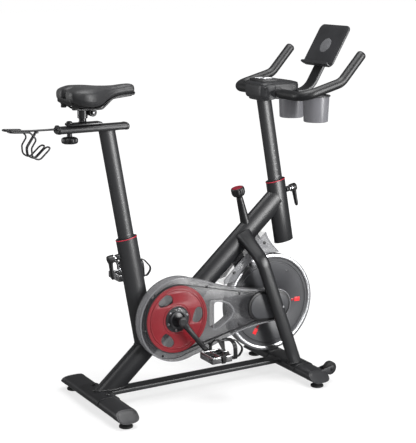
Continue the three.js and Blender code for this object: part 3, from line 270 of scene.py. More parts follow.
def plate(name, loops, y0, y1, bevel=0.0):
    """A flat piece from outlines in X and Z, holes included, given thickness from y0 to y1."""
    curve = bpy.data.curves.new(name, "CURVE")
    curve.dimensions = "2D"
    curve.fill_mode = "BOTH"
    curve.extrude = (y1 - y0) / 2 - bevel
    curve.bevel_depth = bevel
    curve.bevel_resolution = 2
    curve.offset = -bevel
    for outline in loops:
        spline = curve.splines.new("POLY")
        spline.points.add(len(outline) - 1)
        for point, (x, z) in zip(spline.points, outline):
            point.co = (x, z, 0, 1)
        spline.use_cyclic_u = True
    flat = bpy.data.objects.new(name + "_outline", curve)
    link(flat)
    bpy.context.view_layer.update()
    made = bpy.data.meshes.new_from_object(flat.evaluated_get(bpy.context.evaluated_depsgraph_get()))
    middle = (y0 + y1) / 2
    points = [V(v.co.x, middle - v.co.z, v.co.y) for v in made.vertices]
    faces = [tuple(p.vertices) for p in made.polygons]
    bpy.data.objects.remove(flat)
    bpy.data.curves.remove(curve)
    bpy.data.meshes.remove(made)
    return mesh(name, points, faces)


def arc(cx, cz, radius, start, end, steps=24):
    """Points of an arc in X and Z, angles in degrees."""
    angles = [math.radians(start + (end - start) * i / steps) for i in range(steps + 1)]
    return [(cx + radius * math.cos(t), cz + radius * math.sin(t)) for t in angles]


def quad(p0, p1, p2, steps=12):
    """Points of a quadratic curve from p0 to p2, the first left out."""
    points = []
    for i in range(1, steps + 1):
        t = i / steps
        points.append(tuple(a * (1 - t) ** 2 + 2 * b * t * (1 - t) + c * t * t
                            for a, b, c in zip(p0, p1, p2)))
    return points


def join(name, objects):
    """Several meshes as one object."""
    bm = bmesh.new()
    for obj in objects:
        bm.from_mesh(obj.data)
        bpy.data.objects.remove(obj)
    data = bpy.data.meshes.new(name)
    bm.to_mesh(data)
    bm.free()
    made = bpy.data.objects.new(name, data)
    link(made)
    return made


def mirrored(obj, name):
    """A copy of a right-hand piece for the left side."""
    bm = bmesh.new()
    bm.from_mesh(obj.data)
    for vert in bm.verts:
        vert.co.y = -vert.co.y
    bmesh.ops.reverse_faces(bm, faces=bm.faces)
    data = bpy.data.meshes.new(name)
    bm.to_mesh(data)
    bm.free()
    made = bpy.data.objects.new(name, data)
    link(made)
    return made


def finish(obj, material, body, nodes=(), bevel=0.0, angle=35):
    """Gives a piece its finish and its body, and hides the CAD nodes it stands for."""
    data = obj.data
    if bevel:
        edge = obj.modifiers.new("edge", "BEVEL")
        edge.width = bevel * MM
        edge.segments = 2
        edge.limit_method = "ANGLE"
        edge.angle_limit = math.radians(40)
        edge.harden_normals = True
    data.shade_smooth()
    data.set_sharp_from_angle(angle=math.radians(angle))
    data.materials.clear()
    data.materials.append(material)
    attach(obj, body)
    if nodes:
        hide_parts(*nodes)
    return obj


# ------------------------------------------------------------------ materials
def shader_node(nodes, kind, **values):
    """A new shader node with its inputs set; an underscore in a name stands for a space."""
    made = nodes.new("ShaderNode" + kind)
    for socket, value in values.items():
        made.inputs[socket.replace("_", " ")].default_value = value
    return made


def surface(name, colour, roughness, metallic=0.0, grain=900, bump=0.15, mottle=0.12, wear=0.0,
            stretch=(1, 1, 1), cells=False, alpha=1.0, **sockets):
    """A finish with colour drift, fine grain in its bump and roughness, and lighter worn edges."""
    mat = bpy.data.materials.new(name)
    mat.use_nodes = True
    nodes, links = mat.node_tree.nodes, mat.node_tree.links
    shader = nodes["Principled BSDF"]
    coords = shader_node(nodes, "TexCoord")
    scale = shader_node(nodes, "Mapping", Scale=stretch)
    links.new(coords.outputs["Object"], scale.inputs["Vector"])

    broad = shader_node(nodes, "TexNoise", Scale=14, Detail=5)
    links.new(scale.outputs["Vector"], broad.inputs["Vector"])
    tint = shader_node(nodes, "ValToRGB")
    for stop, factor in zip(tint.color_ramp.elements, (1 - mottle, 1 + mottle)):
        stop.color = [min(c * factor, 1) for c in colour] + [1]
    tint.color_ramp.elements[0].position = 0.35
    tint.color_ramp.elements[1].position = 0.65
    links.new(broad.outputs["Fac"], tint.inputs["Fac"])
    paint = tint.outputs["Color"]

    if wear:
        point = shader_node(nodes, "NewGeometry")
        edge = shader_node(nodes, "MapRange", From_Min=0.52, From_Max=0.62, To_Max=wear)
        links.new(point.outputs["Pointiness"], edge.inputs["Value"])
        mix = shader_node(nodes, "Mix")
        mix.data_type = "RGBA"
        mix.inputs["B"].default_value = [min(c * 2.4 + 0.05, 1) for c in colour] + [1]
        links.new(edge.outputs["Result"], mix.inputs["Factor"])
        links.new(paint, mix.inputs["A"])
        paint = mix.outputs["Result"]
    links.new(paint, shader.inputs["Base Color"])

    if cells:
        fine = shader_node(nodes, "TexVoronoi")
        fine.feature = "F1"
        height = fine.outputs["Distance"]
    else:
        fine = shader_node(nodes, "TexNoise", Detail=6)
        height = fine.outputs["Fac"]
    fine.inputs["Scale"].default_value = grain
    links.new(scale.outputs["Vector"], fine.inputs["Vector"])
    relief = shader_node(nodes, "Bump", Strength=bump, Distance=0.0004)
    links.new(height, relief.inputs["Height"])
    links.new(relief.outputs["Normal"], shader.inputs["Normal"])
    gloss = shader_node(nodes, "MapRange", To_Min=max(roughness - 0.06, 0.02),
                        To_Max=min(roughness + 0.06, 1))
    links.new(height, gloss.inputs["Value"])
    links.new(gloss.outputs["Result"], shader.inputs["Roughness"])

    shader.inputs["Metallic"].default_value = metallic
    shader.inputs["Alpha"].default_value = alpha
    for socket, value in sockets.items():
        shader.inputs[socket.replace("_", " ")].default_value = value
    return mat


POWDER = surface("charcoal_powder_coat", (0.0095, 0.0098, 0.011), 0.35, grain=1500, bump=0.12, wear=0.25)
PLATE = surface("charcoal_moulding", (0.018, 0.0184, 0.0203), 0.42, grain=1300, bump=0.22, wear=0.2)
BLACK = surface("black_moulding", (0.007, 0.007, 0.0078), 0.4, grain=1300, bump=0.2, wear=0.25)
SATIN = surface("satin_black_enamel", (0.008, 0.008, 0.009), 0.3, grain=1800, bump=0.06, wear=0.3)
RUBBER = surface("rubber", (0.010, 0.010, 0.010), 0.72, grain=700, bump=0.35)
FOAM = surface("foam_grip", (0.0065, 0.0067, 0.0075), 0.44, grain=1400, bump=0.08)
HIDE = surface("saddle_skin", (0.011, 0.0113, 0.0125), 0.46, grain=650, bump=0.4, cells=True,
               Sheen_Weight=0.08)
FACE = surface("flywheel_enamel", (0.036, 0.037, 0.041), 0.42, grain=1500, bump=0.12, wear=0.2)
RIM = surface("turned_steel", (0.50, 0.505, 0.52), 0.34, 1.0, grain=500, bump=0.12, stretch=(1, 14, 1))
STEEL = surface("brushed_steel", (0.40, 0.40, 0.415), 0.34, 1.0, grain=500, bump=0.2, stretch=(1, 12, 1))
CHROME = surface("chrome", (0.50, 0.505, 0.52), 0.16, 1.0, grain=300, bump=0.03, mottle=0.04)
ALUMINIUM = surface("cast_aluminium", (0.50, 0.50, 0.51), 0.26, 1.0, grain=900, bump=0.3, wear=0.3)
CRIMSON = surface("crimson_plastic", (0.30, 0.004, 0.012), 0.32, grain=900, bump=0.08, mottle=0.08)
DARK_RED = surface("dark_red_cap", (0.22, 0.008, 0.022), 0.38, grain=900, bump=0.08, mottle=0.06)
RED = surface("red_plastic", (0.40, 0.008, 0.03), 0.34, grain=900, bump=0.08, mottle=0.06)
SMOKE = surface("smoked_plastic", (0.05, 0.05, 0.055), 0.16, grain=200, bump=0.0, alpha=0.12, mottle=0.05)
SMOKE_BACK = surface("smoked_plastic_back", (0.15, 0.15, 0.156), 0.24, grain=30, bump=0.0, alpha=0.66,
                     mottle=0.05)
SMOKE_EDGE = surface("smoked_plastic_edge", (0.22, 0.22, 0.23), 0.2, grain=200, bump=0.0, alpha=0.5,
                     mottle=0.05)
HAZE = surface("clear_grey_plastic", (0.21, 0.212, 0.222), 0.2, grain=200, bump=0.0, alpha=0.6, mottle=0.06)
CUP = surface("grey_cup_plastic", (0.145, 0.145, 0.157), 0.34, grain=12, bump=0.0, alpha=0.88, mottle=0.04)
PAD = surface("grey_pad", (0.085, 0.086, 0.092), 0.75, grain=1400, bump=0.4, cells=True)
MARK = surface("white_print", (0.20, 0.20, 0.205), 0.5, grain=900, bump=0.05)
BRIGHT_RED = surface("red_mark", (0.80, 0.006, 0.012), 0.4, grain=900, bump=0.05, mottle=0.05)
DIGITS = surface("lit_digits", (0.75, 0.76, 0.78), 0.3, grain=900, bump=0.02, Emission_Color=(1, 1, 1, 1),
                 Emission_Strength=0.6)
GLASS = surface("display_window", (0.10, 0.10, 0.11), 0.08, grain=300, bump=0.02, Coat_Weight=0.6)


# ------------------------------------------------------------------ small fittings
def bolt(name, at, axis, radius, height, body, material=None, socket=True):
    """A domed bolt head on a washer, with a round socket unless socket is false."""
    r, h = radius, height
    profile = [(r * 1.35, 0), (r * 1.35, h * 0.22), (r, h * 0.24), (r * 0.98, h * 0.55), (r * 0.8, h * 0.88),
               (r * 0.55, h)]
    profile += [(r * 0.45, h * 0.98), (r * 0.42, h * 0.45), (0, h * 0.4)] if socket else [(0, h * 1.03)]
    return finish(turned(name, [(0, 0)] + profile, at, axis, 24), material or SATIN, body)


def weld(name, path, radius, body):
    """A weld bead along a path, with the small ripples that a weld has."""
    rings = []
    count = len(path)
    for i, point in enumerate(path):
        along = (path[(i + 1) % count] - path[i - 1]).normalized()
        u = along.orthogonal().normalized()
        v = along.cross(u)
        size = radius * (1 + 0.16 * math.sin(i * 1.9))
        rings.append([point + u * (size * math.cos(t)) + v * (size * math.sin(t))
                      for t in (2 * math.pi * k / 8 for k in range(8))])
    bead = align_loop(rings)
    return finish(loft(name, bead, True), POWDER, body, angle=60)


def align_loop(rings):
    """Turns each ring so that its first point stays next to the one before it."""
    aligned = [rings[0]]
    for ring in rings[1:]:
        first = aligned[-1][0]
        k = min(range(len(ring)), key=lambda i: (ring[i] - first).length)
        aligned.append(ring[k:] + ring[:k])
    return aligned


# ------------------------------------------------------------------ frame
HEAD_END = 468  # where the main tube's axis ends inside the head tube


def main_tube_end(z):
    """The ring where the main tube meets the level z."""
    ring = oval(main_at(0), MAIN_ACROSS, Y, *MAIN_TUBE, 64)
    return [p + MAIN_UP * ((z - p.z) / MAIN_UP.z) for p in ring]


def build_main_tube():
    low = main_tube_end(STABILISER_Z + STABILISER_HALF + 0.3)
    high = oval(main_at(HEAD_END), MAIN_ACROSS, Y, *MAIN_TUBE, 64)
    middle = [[p.lerp(q, t) for p, q in zip(low, high)] for t in (0.02, 0.25, 0.5, 0.75)]
    tube = loft("main_tube_skin", [low] + middle + [high])
    finish(tube, POWDER, "frame", ["main_tube"])
    bead = main_tube_end(67)
    centre = sum(bead, Vector()) / len(bead)
    weld("main_tube_weld", [p + (p - centre).normalized() for p in bead], 2.6, "frame")
    finish(sleeve("main_tube_sleeve", REAR_X, -86, 86, 3), POWDER, "frame", bevel=0.6)
    for side, word in HANDS:
        at = V(REAR_X + 8, side * 62, STABILISER_Z + STABILISER_HALF + 2.8)
        bolt(f"sleeve_bolt_{word}", at, Z, 7, 7, "frame")


def sleeve(name, x, y0, y1, wall):
    """A saddle plate that follows the top half of a stabiliser."""
    def half_ring(grow):
        ring = oval(V(x, 0, STABILISER_Z), Z, X, STABILISER_HALF + grow, STABILISER_A + grow, 96,
                    STABILISER_POWER)
        return ring[72:] + ring[:25]

    outline = half_ring(0.3 + wall) + half_ring(0.3)[::-1]
    return loft(name, [[V(p.x, y, p.z) for p in outline] for y in (y0, y1)])


def tube_meeting(point, direction, tube, at, across):
    """Where a line enters an oval tube, and None where it misses."""
    a, b = tube
    p = point - at
    pa, py, da, dy = p.dot(across), p.y, direction.dot(across), direction.y
    qa, qb, qc = (da / a) ** 2 + (dy / b) ** 2, 2 * (pa * da / a ** 2
                                                     + py * dy / b ** 2), (pa / a) ** 2 + (py / b) ** 2 - 1
    root = qb * qb - 4 * qa * qc
    return None if root < 0 else point + direction * ((-qb - math.sqrt(root)) / (2 * qa))


def build_seat_tube():
    top = seat_at(SEAT_TUBE_TOP)
    tube = bar("seat_tube_skin", seat_at(215), top, POST_FRONT, *OUTER_TUBE, 64)
    finish(tube, POWDER, "frame", ["seat_tube"])
    bead = [tube_meeting(p, -POST_UP, MAIN_TUBE, main_at(0), MAIN_ACROSS)
            for p in oval(top, POST_FRONT, Y, 42, 23.6, 96)]
    weld("seat_tube_weld", bead, 2.4, "frame")


def build_head_tube():
    low, high = head_at(HEAD_TUBE_BOTTOM), head_at(HEAD_TUBE_TOP)
    finish(bar("head_tube_skin", low, high, POST_FRONT, *OUTER_TUBE, 64, 2.0, 0.8), POWDER, "frame",
           ["head_tube"])
    plug = bar("head_tube_plug", low - POST_UP * 0.2, low + POST_UP * 3, POST_FRONT, 37, 19, 48, 2, 1)
    finish(plug, BLACK, "frame")


def build_collars():
    for name, at, top in (("seat", seat_at, SEAT_TUBE_TOP), ("head", head_at, HEAD_TUBE_TOP)):
        start = at(top) + POST_UP * 0.2
        ring = bar(f"{name}_collar", start, start + POST_UP * (COLLAR - 0.8), POST_FRONT, 42, 24, 64, 2, 0.6)
        finish(ring, RED, "frame", [f"{name}_bushing"])
        lid = bar(f"{name}_collar_top", start + POST_UP * 0.4, start + POST_UP * (COLLAR + 0.2), POST_FRONT,
                  41, 23, 64, 2, 0.8)
        finish(lid, BLACK, "frame")


def build_legs():
    corners = [
        (V(503, -LEG_Y, STABILISER_Z + 14), 0),
        (V(346, -LEG_Y, 486), 70),
        (V(309, -12, 580), 0),
    ]
    path = rounded(corners, 12)
    path = path[:-1] + [path[-2].lerp(path[-1], t) for t in (0.25, 0.5, 0.7, 0.85, 1)]
    swell = [1.0] * (len(path) - 5) + [1.01, 1.05, 1.12, 1.22, 1.34]
    right = sweep("front_leg_skin_right", path, LEG_A, LEG_B, Y, 48, 2.6, swell=swell)
    left = mirrored(right, "front_leg_skin_left")
    finish(right, POWDER, "frame", ["front_leg_right"])
    finish(left, POWDER, "frame", ["front_leg_left"])
    for side, word in HANDS:
        y0, y1 = sorted((side * 62, side * 128))
        finish(sleeve(f"leg_sleeve_{word}", FRONT_X, y0, y1, 2.6), POWDER, "frame", bevel=0.6)
        z = STABILISER_Z + STABILISER_HALF + 2.6
        for dy in (-27, 27):
            at = V(FRONT_X + 12, side * LEG_Y + dy, z)
            bolt(f"leg_bolt_{word}_{'outer' if dy * side > 0 else 'inner'}", at, Z, 5, 4.6, "frame")
        ring = oval(V(497, side * LEG_Y, z + 1), X, Y, LEG_A * 1.08, LEG_B + 1, 72, 2.6)
        weld(f"leg_weld_{word}", ring, 2.0, "frame")


def build_base():
    start, end = V(REAR_X + RAIL_INSET, 0, RAIL_LEVEL), V(FRONT_X - RAIL_INSET, 0, RAIL_LEVEL)
    finish(bar("base_rail_skin", start, end, Z, 10, 25, 48, 4.5), POWDER, "frame", ["base_rail"])
    for x, word in ((REAR_X, "rear"), (FRONT_X, "front")):
        ends = [V(x, side * STABILISER_Y, STABILISER_Z) for side in (-1, 1)]
        beam = bar(f"{word}_stabiliser_skin", *ends, Z, STABILISER_HALF, STABILISER_A, 96, STABILISER_POWER)
        finish(beam, POWDER, "frame", [f"{word}_stabiliser"])
        for side, hand in HANDS:
            cap = stabiliser_cap(f"{word}_cap_skin_{hand}", x, side)
            finish(cap, PLATE, "frame", [f"front_cap_{hand}"] if word == "front" else [])
    rail_weld = oval(V(REAR_X + RAIL_INSET + 5, 0, RAIL_LEVEL), Z, Y, 11, 26, 64, 4.5)
    weld("base_rail_weld_rear", rail_weld, 1.8, "frame")
    weld("base_rail_weld_front", [p + X * (FRONT_X - REAR_X - 2 * (RAIL_INSET + 5)) for p in rail_weld], 1.8,
         "frame")


def stabiliser_cap(name, x, side):
    """An end plug whose face slopes out and down, with a soft edge and a shallow ring in the face."""
    half = STABILISER_HALF

    def ring(scale):
        return oval(V(x, 0, STABILISER_Z), Z, X, half * scale, STABILISER_A * scale, 72, STABILISER_POWER)

    def upright(scale, out):
        return [V(p.x, side * (STABILISER_Y + out), p.z) for p in ring(scale)]

    def sloped(scale, out):
        return [V(p.x, side * (CAP_REACH + out - CAP_CUT * (p.z - STABILISER_Z + half) / (2 * half)), p.z)
                for p in ring(scale)]

    skin = [upright(0.95, -2), upright(0.98, 0.4), upright(1.015, 0.9), upright(1.02, 2)]
    skin += [sloped(scale, out) for scale, out in ((1.015, -7), (1.01, -4), (0.995, -1.8), (0.97, -0.4),
                                                   (0.94, 0), (0.89, 0.2), (0.875, -0.7), (0.855, -0.7),
                                                   (0.84, 0.4), (0.7, 1.2), (0.45, 1.8), (0.15, 2))]
    return loft(name, skin)


def build_feet():
    for x, end in ((REAR_X, "rear"), (FRONT_X, "front")):
        for side, hand in HANDS:
            body = f"foot_{end}_{hand}"
            profile = [(0, 0), (22, 0), (24.4, 1.2), (25, 4), (24.2, 7), (20, 9.4), (15, 10.4), (13.6, 12.6),
                       (12, 13), (6, 13), (6, 21.8), (0, 21.8)]
            pad = turned(f"{end}_foot_pad_{hand}", profile, V(x, side * FOOT_Y, 0), Z, 48)
            finish(pad, RUBBER, body, [f"{end}_foot_{hand}"])
            nut = turned(f"{end}_foot_nut_{hand}", [(6, 14.5), (10.5, 14.5), (11, 15), (11, 20), (10.5, 20.6),
                                                    (6, 20.6), (6, 14.5)], V(x, side * FOOT_Y, 0), Z, 6)
            finish(nut, STEEL, body, bevel=0.4)


def build_wheels():
    x, y, z = FRONT_X + WHEEL_OUT, WHEEL_Y, WHEEL_Z
    for side, hand in HANDS:
        centre = V(x, side * y, z)
        profile = [(4.5, -11), (9, -11), (10, -9.5), (19, -9), (20, -11), (23, -11), (25.4, -9), (26, -5),
                   (25.4, -1), (24.9, 0), (25.4, 1), (26, 5), (25.4, 9), (23, 11), (20, 11), (19, 9),
                   (10, 9.5), (9, 11), (4.5, 11), (4.5, -11)]
        wheel = turned(f"wheel_tyre_{hand}", profile, centre, Y, 64)
        finish(wheel, RUBBER, f"wheel_{hand}", [f"transport_wheel_{hand}"])
        for out in (-1, 1):
            arm = plate(f"wheel_fork_{hand}_{'in' if out * side < 0 else 'out'}",
                        [arc(x, z, 13, -70, 115) + [(FRONT_X + 16, STABILISER_Z + 17),
                                                    (FRONT_X + 16, STABILISER_Z - 13)]], side * y + out * 15
                        - 2.5, side * y + out * 15 + 2.5, 0.8)
            finish(arm, PLATE, "frame")
            bolt(f"wheel_bolt_{hand}_{'in' if out * side < 0 else 'out'}", centre + Y * (out * 17.4), Y * out,
                 6.5, 3.6, "frame")


# ------------------------------------------------------------------ drive
def pulley_window(turn):
    """One of the three bean-shaped windows in the pulley, turned by so many degrees."""
    outline = [(62, -20)]
    for p1, p2 in (((70, -34), (90, -32)), ((112, -22), (109, 8)), ((104, 30), (86, 26)),
                   ((72, 20), (62, -20))):
        outline += quad(outline[-1], p1, p2, 7)
    t = math.radians(turn)
    return [(x * math.cos(t) - z * math.sin(t), CRANK_Z + x * math.sin(t) + z * math.cos(t))
            for x, z in outline[:-1]]


def build_crank():
    radius, y0, y1 = PULLEY_RADIUS, -62, -47
    disc = plate("pulley_web", [arc(0, CRANK_Z, radius - 9, 0, 357, 119)]
                 + [pulley_window(t) for t in (5, 125, 245)], y0 + 2, y0 + 8, 0.8)
    finish(disc, CRIMSON, "crank", ["crank_pulley"])
    rim = [(radius - 10, y0), (radius - 1, y0), (radius, y0 + 1)]
    for i in range(6):
        rim += [(radius, y0 + 2.2 + i * 1.9), (radius - 1.2, y0 + 3.1 + i * 1.9)]
    rim += [(radius, y1 - 1), (radius - 1, y1), (radius - 10, y1), (radius - 11, y1 - 3),
            (radius - 11, y0 + 1.5), (radius - 10, y0)]
    finish(turned("pulley_rim", rim, CRANK, Y, 128), CRIMSON, "crank")
    for r in (56, 110):
        ring = [(r - 2, y0 + 1), (r - 1.2, y0), (r + 1.2, y0), (r + 2, y0 + 1), (r + 2, y0 + 3),
                (r - 2, y0 + 3), (r - 2, y0 + 1)]
        finish(turned(f"pulley_ring_{r}", ring, CRANK, Y, 96), CRIMSON, "crank")
    hub = [(0, y0 - 2), (30, y0 - 2), (32, y0 - 1), (47, y0 - 1), (49, y0 + 1), (49, y0 + 3), (0, y0 + 3)]
    finish(turned("pulley_hub", hub, CRANK, Y, 96), SATIN, "crank")
    for i in range(6):
        t = math.radians(60 * i + 20)
        at = V(40 * math.cos(t), y0 - 1, CRANK_Z + 40 * math.sin(t))
        bolt(f"pulley_bolt_{i + 1}", at, -Y, 3.6, 3.2, "crank", STEEL)
    spindle = rod("crank_spindle", V(0, -ARM_Y - 6, CRANK_Z), V(0, ARM_Y + 6, CRANK_Z), 9.4, 32, 1)
    finish(spindle, BLACK, "crank")
    for side, hand in CRANK_HANDS:
        build_crank_arm(side, hand)


def build_crank_arm(side, hand):
    y = -ARM_Y * side
    along = V(math.cos(CRANK_ANGLE) * side, 0, math.sin(CRANK_ANGLE) * side)
    across = along.cross(Y).normalized()
    centre = V(0, y, CRANK_Z)
    half = ARM_THICKNESS / 2
    stations = ((-8, 14, half), (14, 13.5, half), (36, 10.6, half * 0.96), (90, 9.2, half * 0.9),
                (150, 9.2, half * 0.92), (CRANK_LENGTH + 4, 10.6, half))
    blade = loft("blade", [oval(centre + along * d, across, Y, w, t, 32, 4) for d, w, t in stations])
    boss = [(0, -half), (17, -half), (18, -half + 1), (18, half - 1), (17, half), (0, half)]
    eye = [(0, -half), (13, -half), (14, -half + 1), (14, half - 1), (13, half), (0, half)]
    arm = join(f"crank_arm_skin_{hand}", [
        blade,
        turned("boss", boss, centre, Y, 48),
        turned("eye", eye, centre + along * CRANK_LENGTH, Y, 48),
    ])
    finish(arm, SATIN, "crank", [f"crank_arm_{hand}"], bevel=0.7)
    out = -Y * side
    cap = [(0, 0), (14, 0), (14.4, 0.6), (13.8, 1.4), (11, 1.8), (10.4, 1.2), (0, 1)]
    finish(turned(f"crank_cap_{hand}", cap, centre + out * half, out, 48), BLACK, "crank")
    ring = [(7, 0), (10, 0), (10.3, 0.6), (9.6, 1.6), (7, 1.6), (7, 0)]
    finish(turned(f"pedal_washer_{hand}", ring, centre + along * CRANK_LENGTH + out * half, out, 40), STEEL,
           "crank")
    groove = bar(f"crank_arm_groove_{hand}", centre + along * 34 + out * (half * 0.93),
                 centre + along * 140 + out * (half * 0.88), out, 0.5, 4.4, 24, 2, 0.3)
    finish(groove, BLACK, "crank")


def build_pedals():
    for side, hand in CRANK_HANDS:
        eye = V(math.cos(CRANK_ANGLE) * side * CRANK_LENGTH, 0,
                CRANK_Z + math.sin(CRANK_ANGLE) * side * CRANK_LENGTH)
        s = -side
        y0 = ARM_Y + ARM_THICKNESS / 2 + PEDAL_GAP
        y1 = y0 + PEDAL_WIDTH
        hx, hz = PEDAL_LENGTH / 2, PEDAL_HEIGHT / 2
        body = f"pedal_{hand}"

        def at(x, y, z):
            return eye + V(x, s * y, z)

        axle = turned(f"pedal_axle_{hand}", [(0, 0), (5.6, 0), (5.6, 8), (9, 8.4), (9, 14), (7, 15), (7, 24),
                                             (0, 24)], at(0, ARM_Y - 5, 0), Y * s, 32)
        finish(axle, STEEL, body)
        barrel = turned(f"pedal_barrel_{hand}", [(0, 0), (10, 0), (11, 1), (11, 6), (9.4, 9), (9.4, 30),
                                                 (10.5, 33), (10.5, 60), (9.4, 63), (9.4, 82), (11, 85),
                                                 (11, PEDAL_WIDTH - 2), (9, PEDAL_WIDTH), (0, PEDAL_WIDTH)],
                        at(0, y0, 0), Y * s, 40)
        finish(barrel, ALUMINIUM, body)
        frame_parts = []
        for x in (hx - 3.5, 3.5 - hx):
            frame_parts.append(bar("rail", at(x, y0 + 1, 0), at(x, y1 - 1, 0), Z, hz, 3.5, 32, 6, 1))
        for y in (y0 + 3.5, y1 - 3.5):
            frame_parts.append(bar("cross", at(1 - hx, y, 0), at(hx - 1, y, 0), Z, hz, 3.5, 32, 6, 1))
        cage = join(f"pedal_cage_{hand}", frame_parts)
        finish(cage, ALUMINIUM, body, [f"pedal_{hand}"], bevel=0.4)
        webs = []
        for y in (y0 + 26, y0 + 46, y0 + 66):
            webs.append(bar("web", at(4 - hx, y, 0), at(hx - 4, y, 0), Z, hz * 0.62, 3, 24, 5, 0.8))
        finish(join(f"pedal_webs_{hand}", webs), BLACK, body)
        pins = []
        for x in (hx - 3.5, 3.5 - hx):
            for i in range(7):
                for up in (-1, 1):
                    start = at(x, y0 + 10 + i * 12, up * (hz - 0.6))
                    pins.append(turned("pin", [(0, 0), (2, 0), (1.9, 1.6), (1.2, 2.4), (0, 2.5)], start,
                                       Z * up, 12))
        finish(join(f"pedal_pins_{hand}", pins), STEEL, body)
        for x, word in ((hx, "front"), (-hx, "rear")):
            light = bar(f"pedal_reflector_{word}_{hand}", at(x, y0 + 26, 0), at(x, y0 + 66, 0), Z, 7.5, 1.6,
                        24, 6, 0.5)
            finish(light, HAZE, body)
        build_toe_cage(hand, at, body, hx, hz, (y0 + y1) / 2)


def build_toe_cage(hand, at, body, hx, hz, mid):
    def c(x, y, z):
        return at(x, mid + y, z)

    spine_way = [(c(hx - 2, 0, -6), 0), (c(97, 0, -15), 14), (c(118, 0, 12), 20), (c(84, 0, 50), 22),
                 (c(6, 0, 60), 0)]
    spine = sweep("spine", rounded(spine_way, 10), 2.4, 5.5, Y, 20, 4)
    hoop_way = [(c(62, 0, -12), 0), (c(58, 43, -8), 14), (c(54, 45, 50), 18), (c(60, 0, 58), 40),
                (c(54, -45, 50), 18), (c(58, -43, -8), 14), (c(62, 0, -12), 0)]
    hoop = sweep("hoop", rounded(hoop_way, 10), 1.7, 8, X, 24, 5)
    sides = []
    for y in (-40, 40):
        way = [(c(hx - 2, y, -2), 0), (c(hx + 10, y, -3), 6), (c(60, y, -4), 0)]
        sides.append(sweep("side", rounded(way, 6), 1.6, 5, Y, 16, 4))
    cage = join(f"toe_cage_shell_{hand}", [spine, hoop] + sides)
    finish(cage, BLACK, body, [f"toe_cage_{hand}"])
    half, under = PEDAL_WIDTH / 2 + 4, -hz - 2.4
    loop = [(c(6, 0, under), 0), (c(6, -half, under), 8), (c(6, -half - 1, 34), 24), (c(6, 0, 70), 34),
            (c(6, half + 1, 34), 24), (c(6, half, under), 8), (c(6, 0.6, under), 0)]
    strap = sweep(f"toe_strap_{hand}", rounded(loop, 8), 1.1, 6.4, X, 20, 5)
    finish(strap, RUBBER, body)
    tongue = [(c(6, half + 2.6, -4), 0), (c(6, half + 3.6, 24), 12), (c(4, half + 18, 40), 12),
              (c(0, half + 30, 34), 0)]
    finish(sweep(f"toe_strap_end_{hand}", rounded(tongue, 6), 0.9, 7.4, X, 16, 4, tip=0.6), RUBBER, body)
    buckle = bar(f"toe_buckle_{hand}", c(6, half + 1.2, 8), c(6, half + 1.4, 36), X, 9, 3.2, 32, 5, 1)
    finish(buckle, CHROME, body, bevel=0.4)


def build_flywheel():
    rim = [(172, -18), (174, -20.6), (176, -22), (188, -22), (190.4, -20.8), (191, -18.5), (191, 18.5),
           (190.4, 20.8), (188, 22), (176, 22), (174, 20.6), (172, 18), (172, -18)]
    finish(turned("flywheel_rim", rim, HUB, Y, 160), RIM, "flywheel", ["flywheel"])
    for s, word in HANDS:
        face = [(20, 8), (22, 16), (30, 17), (34, 19.4), (58, 19.8), (60, 18.6), (62, 18.6), (64, 19.8),
                (156, 20.2), (158, 18.4), (161, 18.2), (163, 19.8), (172, 20), (173.4, 19), (173.4, 12),
                (20, 12), (20, 8)]
        disc = turned(f"flywheel_face_{word}", face, HUB, Y * s, 160)
        finish(disc, FACE, "flywheel")
        for i, degrees in enumerate((-2, 238)):
            turn = math.radians(degrees)
            out = V(math.cos(turn), 0, math.sin(turn))
            centre = V(HUB_X, s * 20.0, HUB_Z)
            tail = bar(f"flywheel_mark_tail_{word}_{i + 1}", centre + out * 98, centre + out * 112, Y, 0.7,
                       4.6, 24, 3, 0.6)
            finish(tail, CRIMSON, "flywheel")
            mark = bar(f"flywheel_mark_{word}_{i + 1}", centre + out * 114, centre + out * 138, Y, 0.9, 8.4,
                       24, 3, 0.6)
            finish(mark, BRIGHT_RED, "flywheel")
        # Each hole is drawn as a dark satin dish on the lighter face: painted shade where the opening is.
        for i in range(3):
            turn = math.radians(56 + 120 * i)
            at = V(HUB_X, s * 19.6, HUB_Z) + V(math.cos(turn), 0, math.sin(turn)) * 138
            hole = turned(f"flywheel_hole_{word}_{i + 1}", [(0, 0.4), (4, 0.4), (4.6, 1.2), (5.8, 1),
                                                            (6, 0.2), (0, 0.2)], at, Y * s, 32)
            finish(hole, SATIN, "flywheel")
    small = [(9, -62), (31.5, -62), (32, -61), (31, -60), (31, -49), (32, -48), (31.5, -47), (18, -47),
             (18, -20), (9, -20), (9, -62)]
    finish(turned("flywheel_pulley", small, HUB, Y, 64), SATIN, "flywheel")
    reach = LEG_Y + LEG_B - 3
    axle = rod("flywheel_axle_skin", V(HUB_X, -reach, HUB_Z), V(HUB_X, reach, HUB_Z), 7.8, 32, 1)
    finish(axle, STEEL, "frame", ["flywheel_axle"])


def belt_loop(grow):
    away = math.hypot(HUB_X, HUB_Z - CRANK_Z)
    tilt = math.degrees(math.atan2(HUB_Z - CRANK_Z, HUB_X))
    wrap = math.degrees(math.acos((PULLEY_RADIUS - SMALL_PULLEY_RADIUS) / away))
    return (arc(0, CRANK_Z, PULLEY_RADIUS + grow, tilt + wrap, tilt - wrap + 360, 60)
            + arc(HUB_X, HUB_Z, SMALL_PULLEY_RADIUS + grow, tilt - wrap, tilt + wrap, 24))


def build_belt():
    finish(plate("belt", [belt_loop(3.5), belt_loop(1.2)], -60, -49, 0.3), RUBBER, "frame",
           ["drive_belt"])


# ------------------------------------------------------------------ belt guard
GUARD_NOSE, GUARD_NOSE_X, GUARD_NOSE_Z, GUARD_BIG = 62, 432, 297, 158


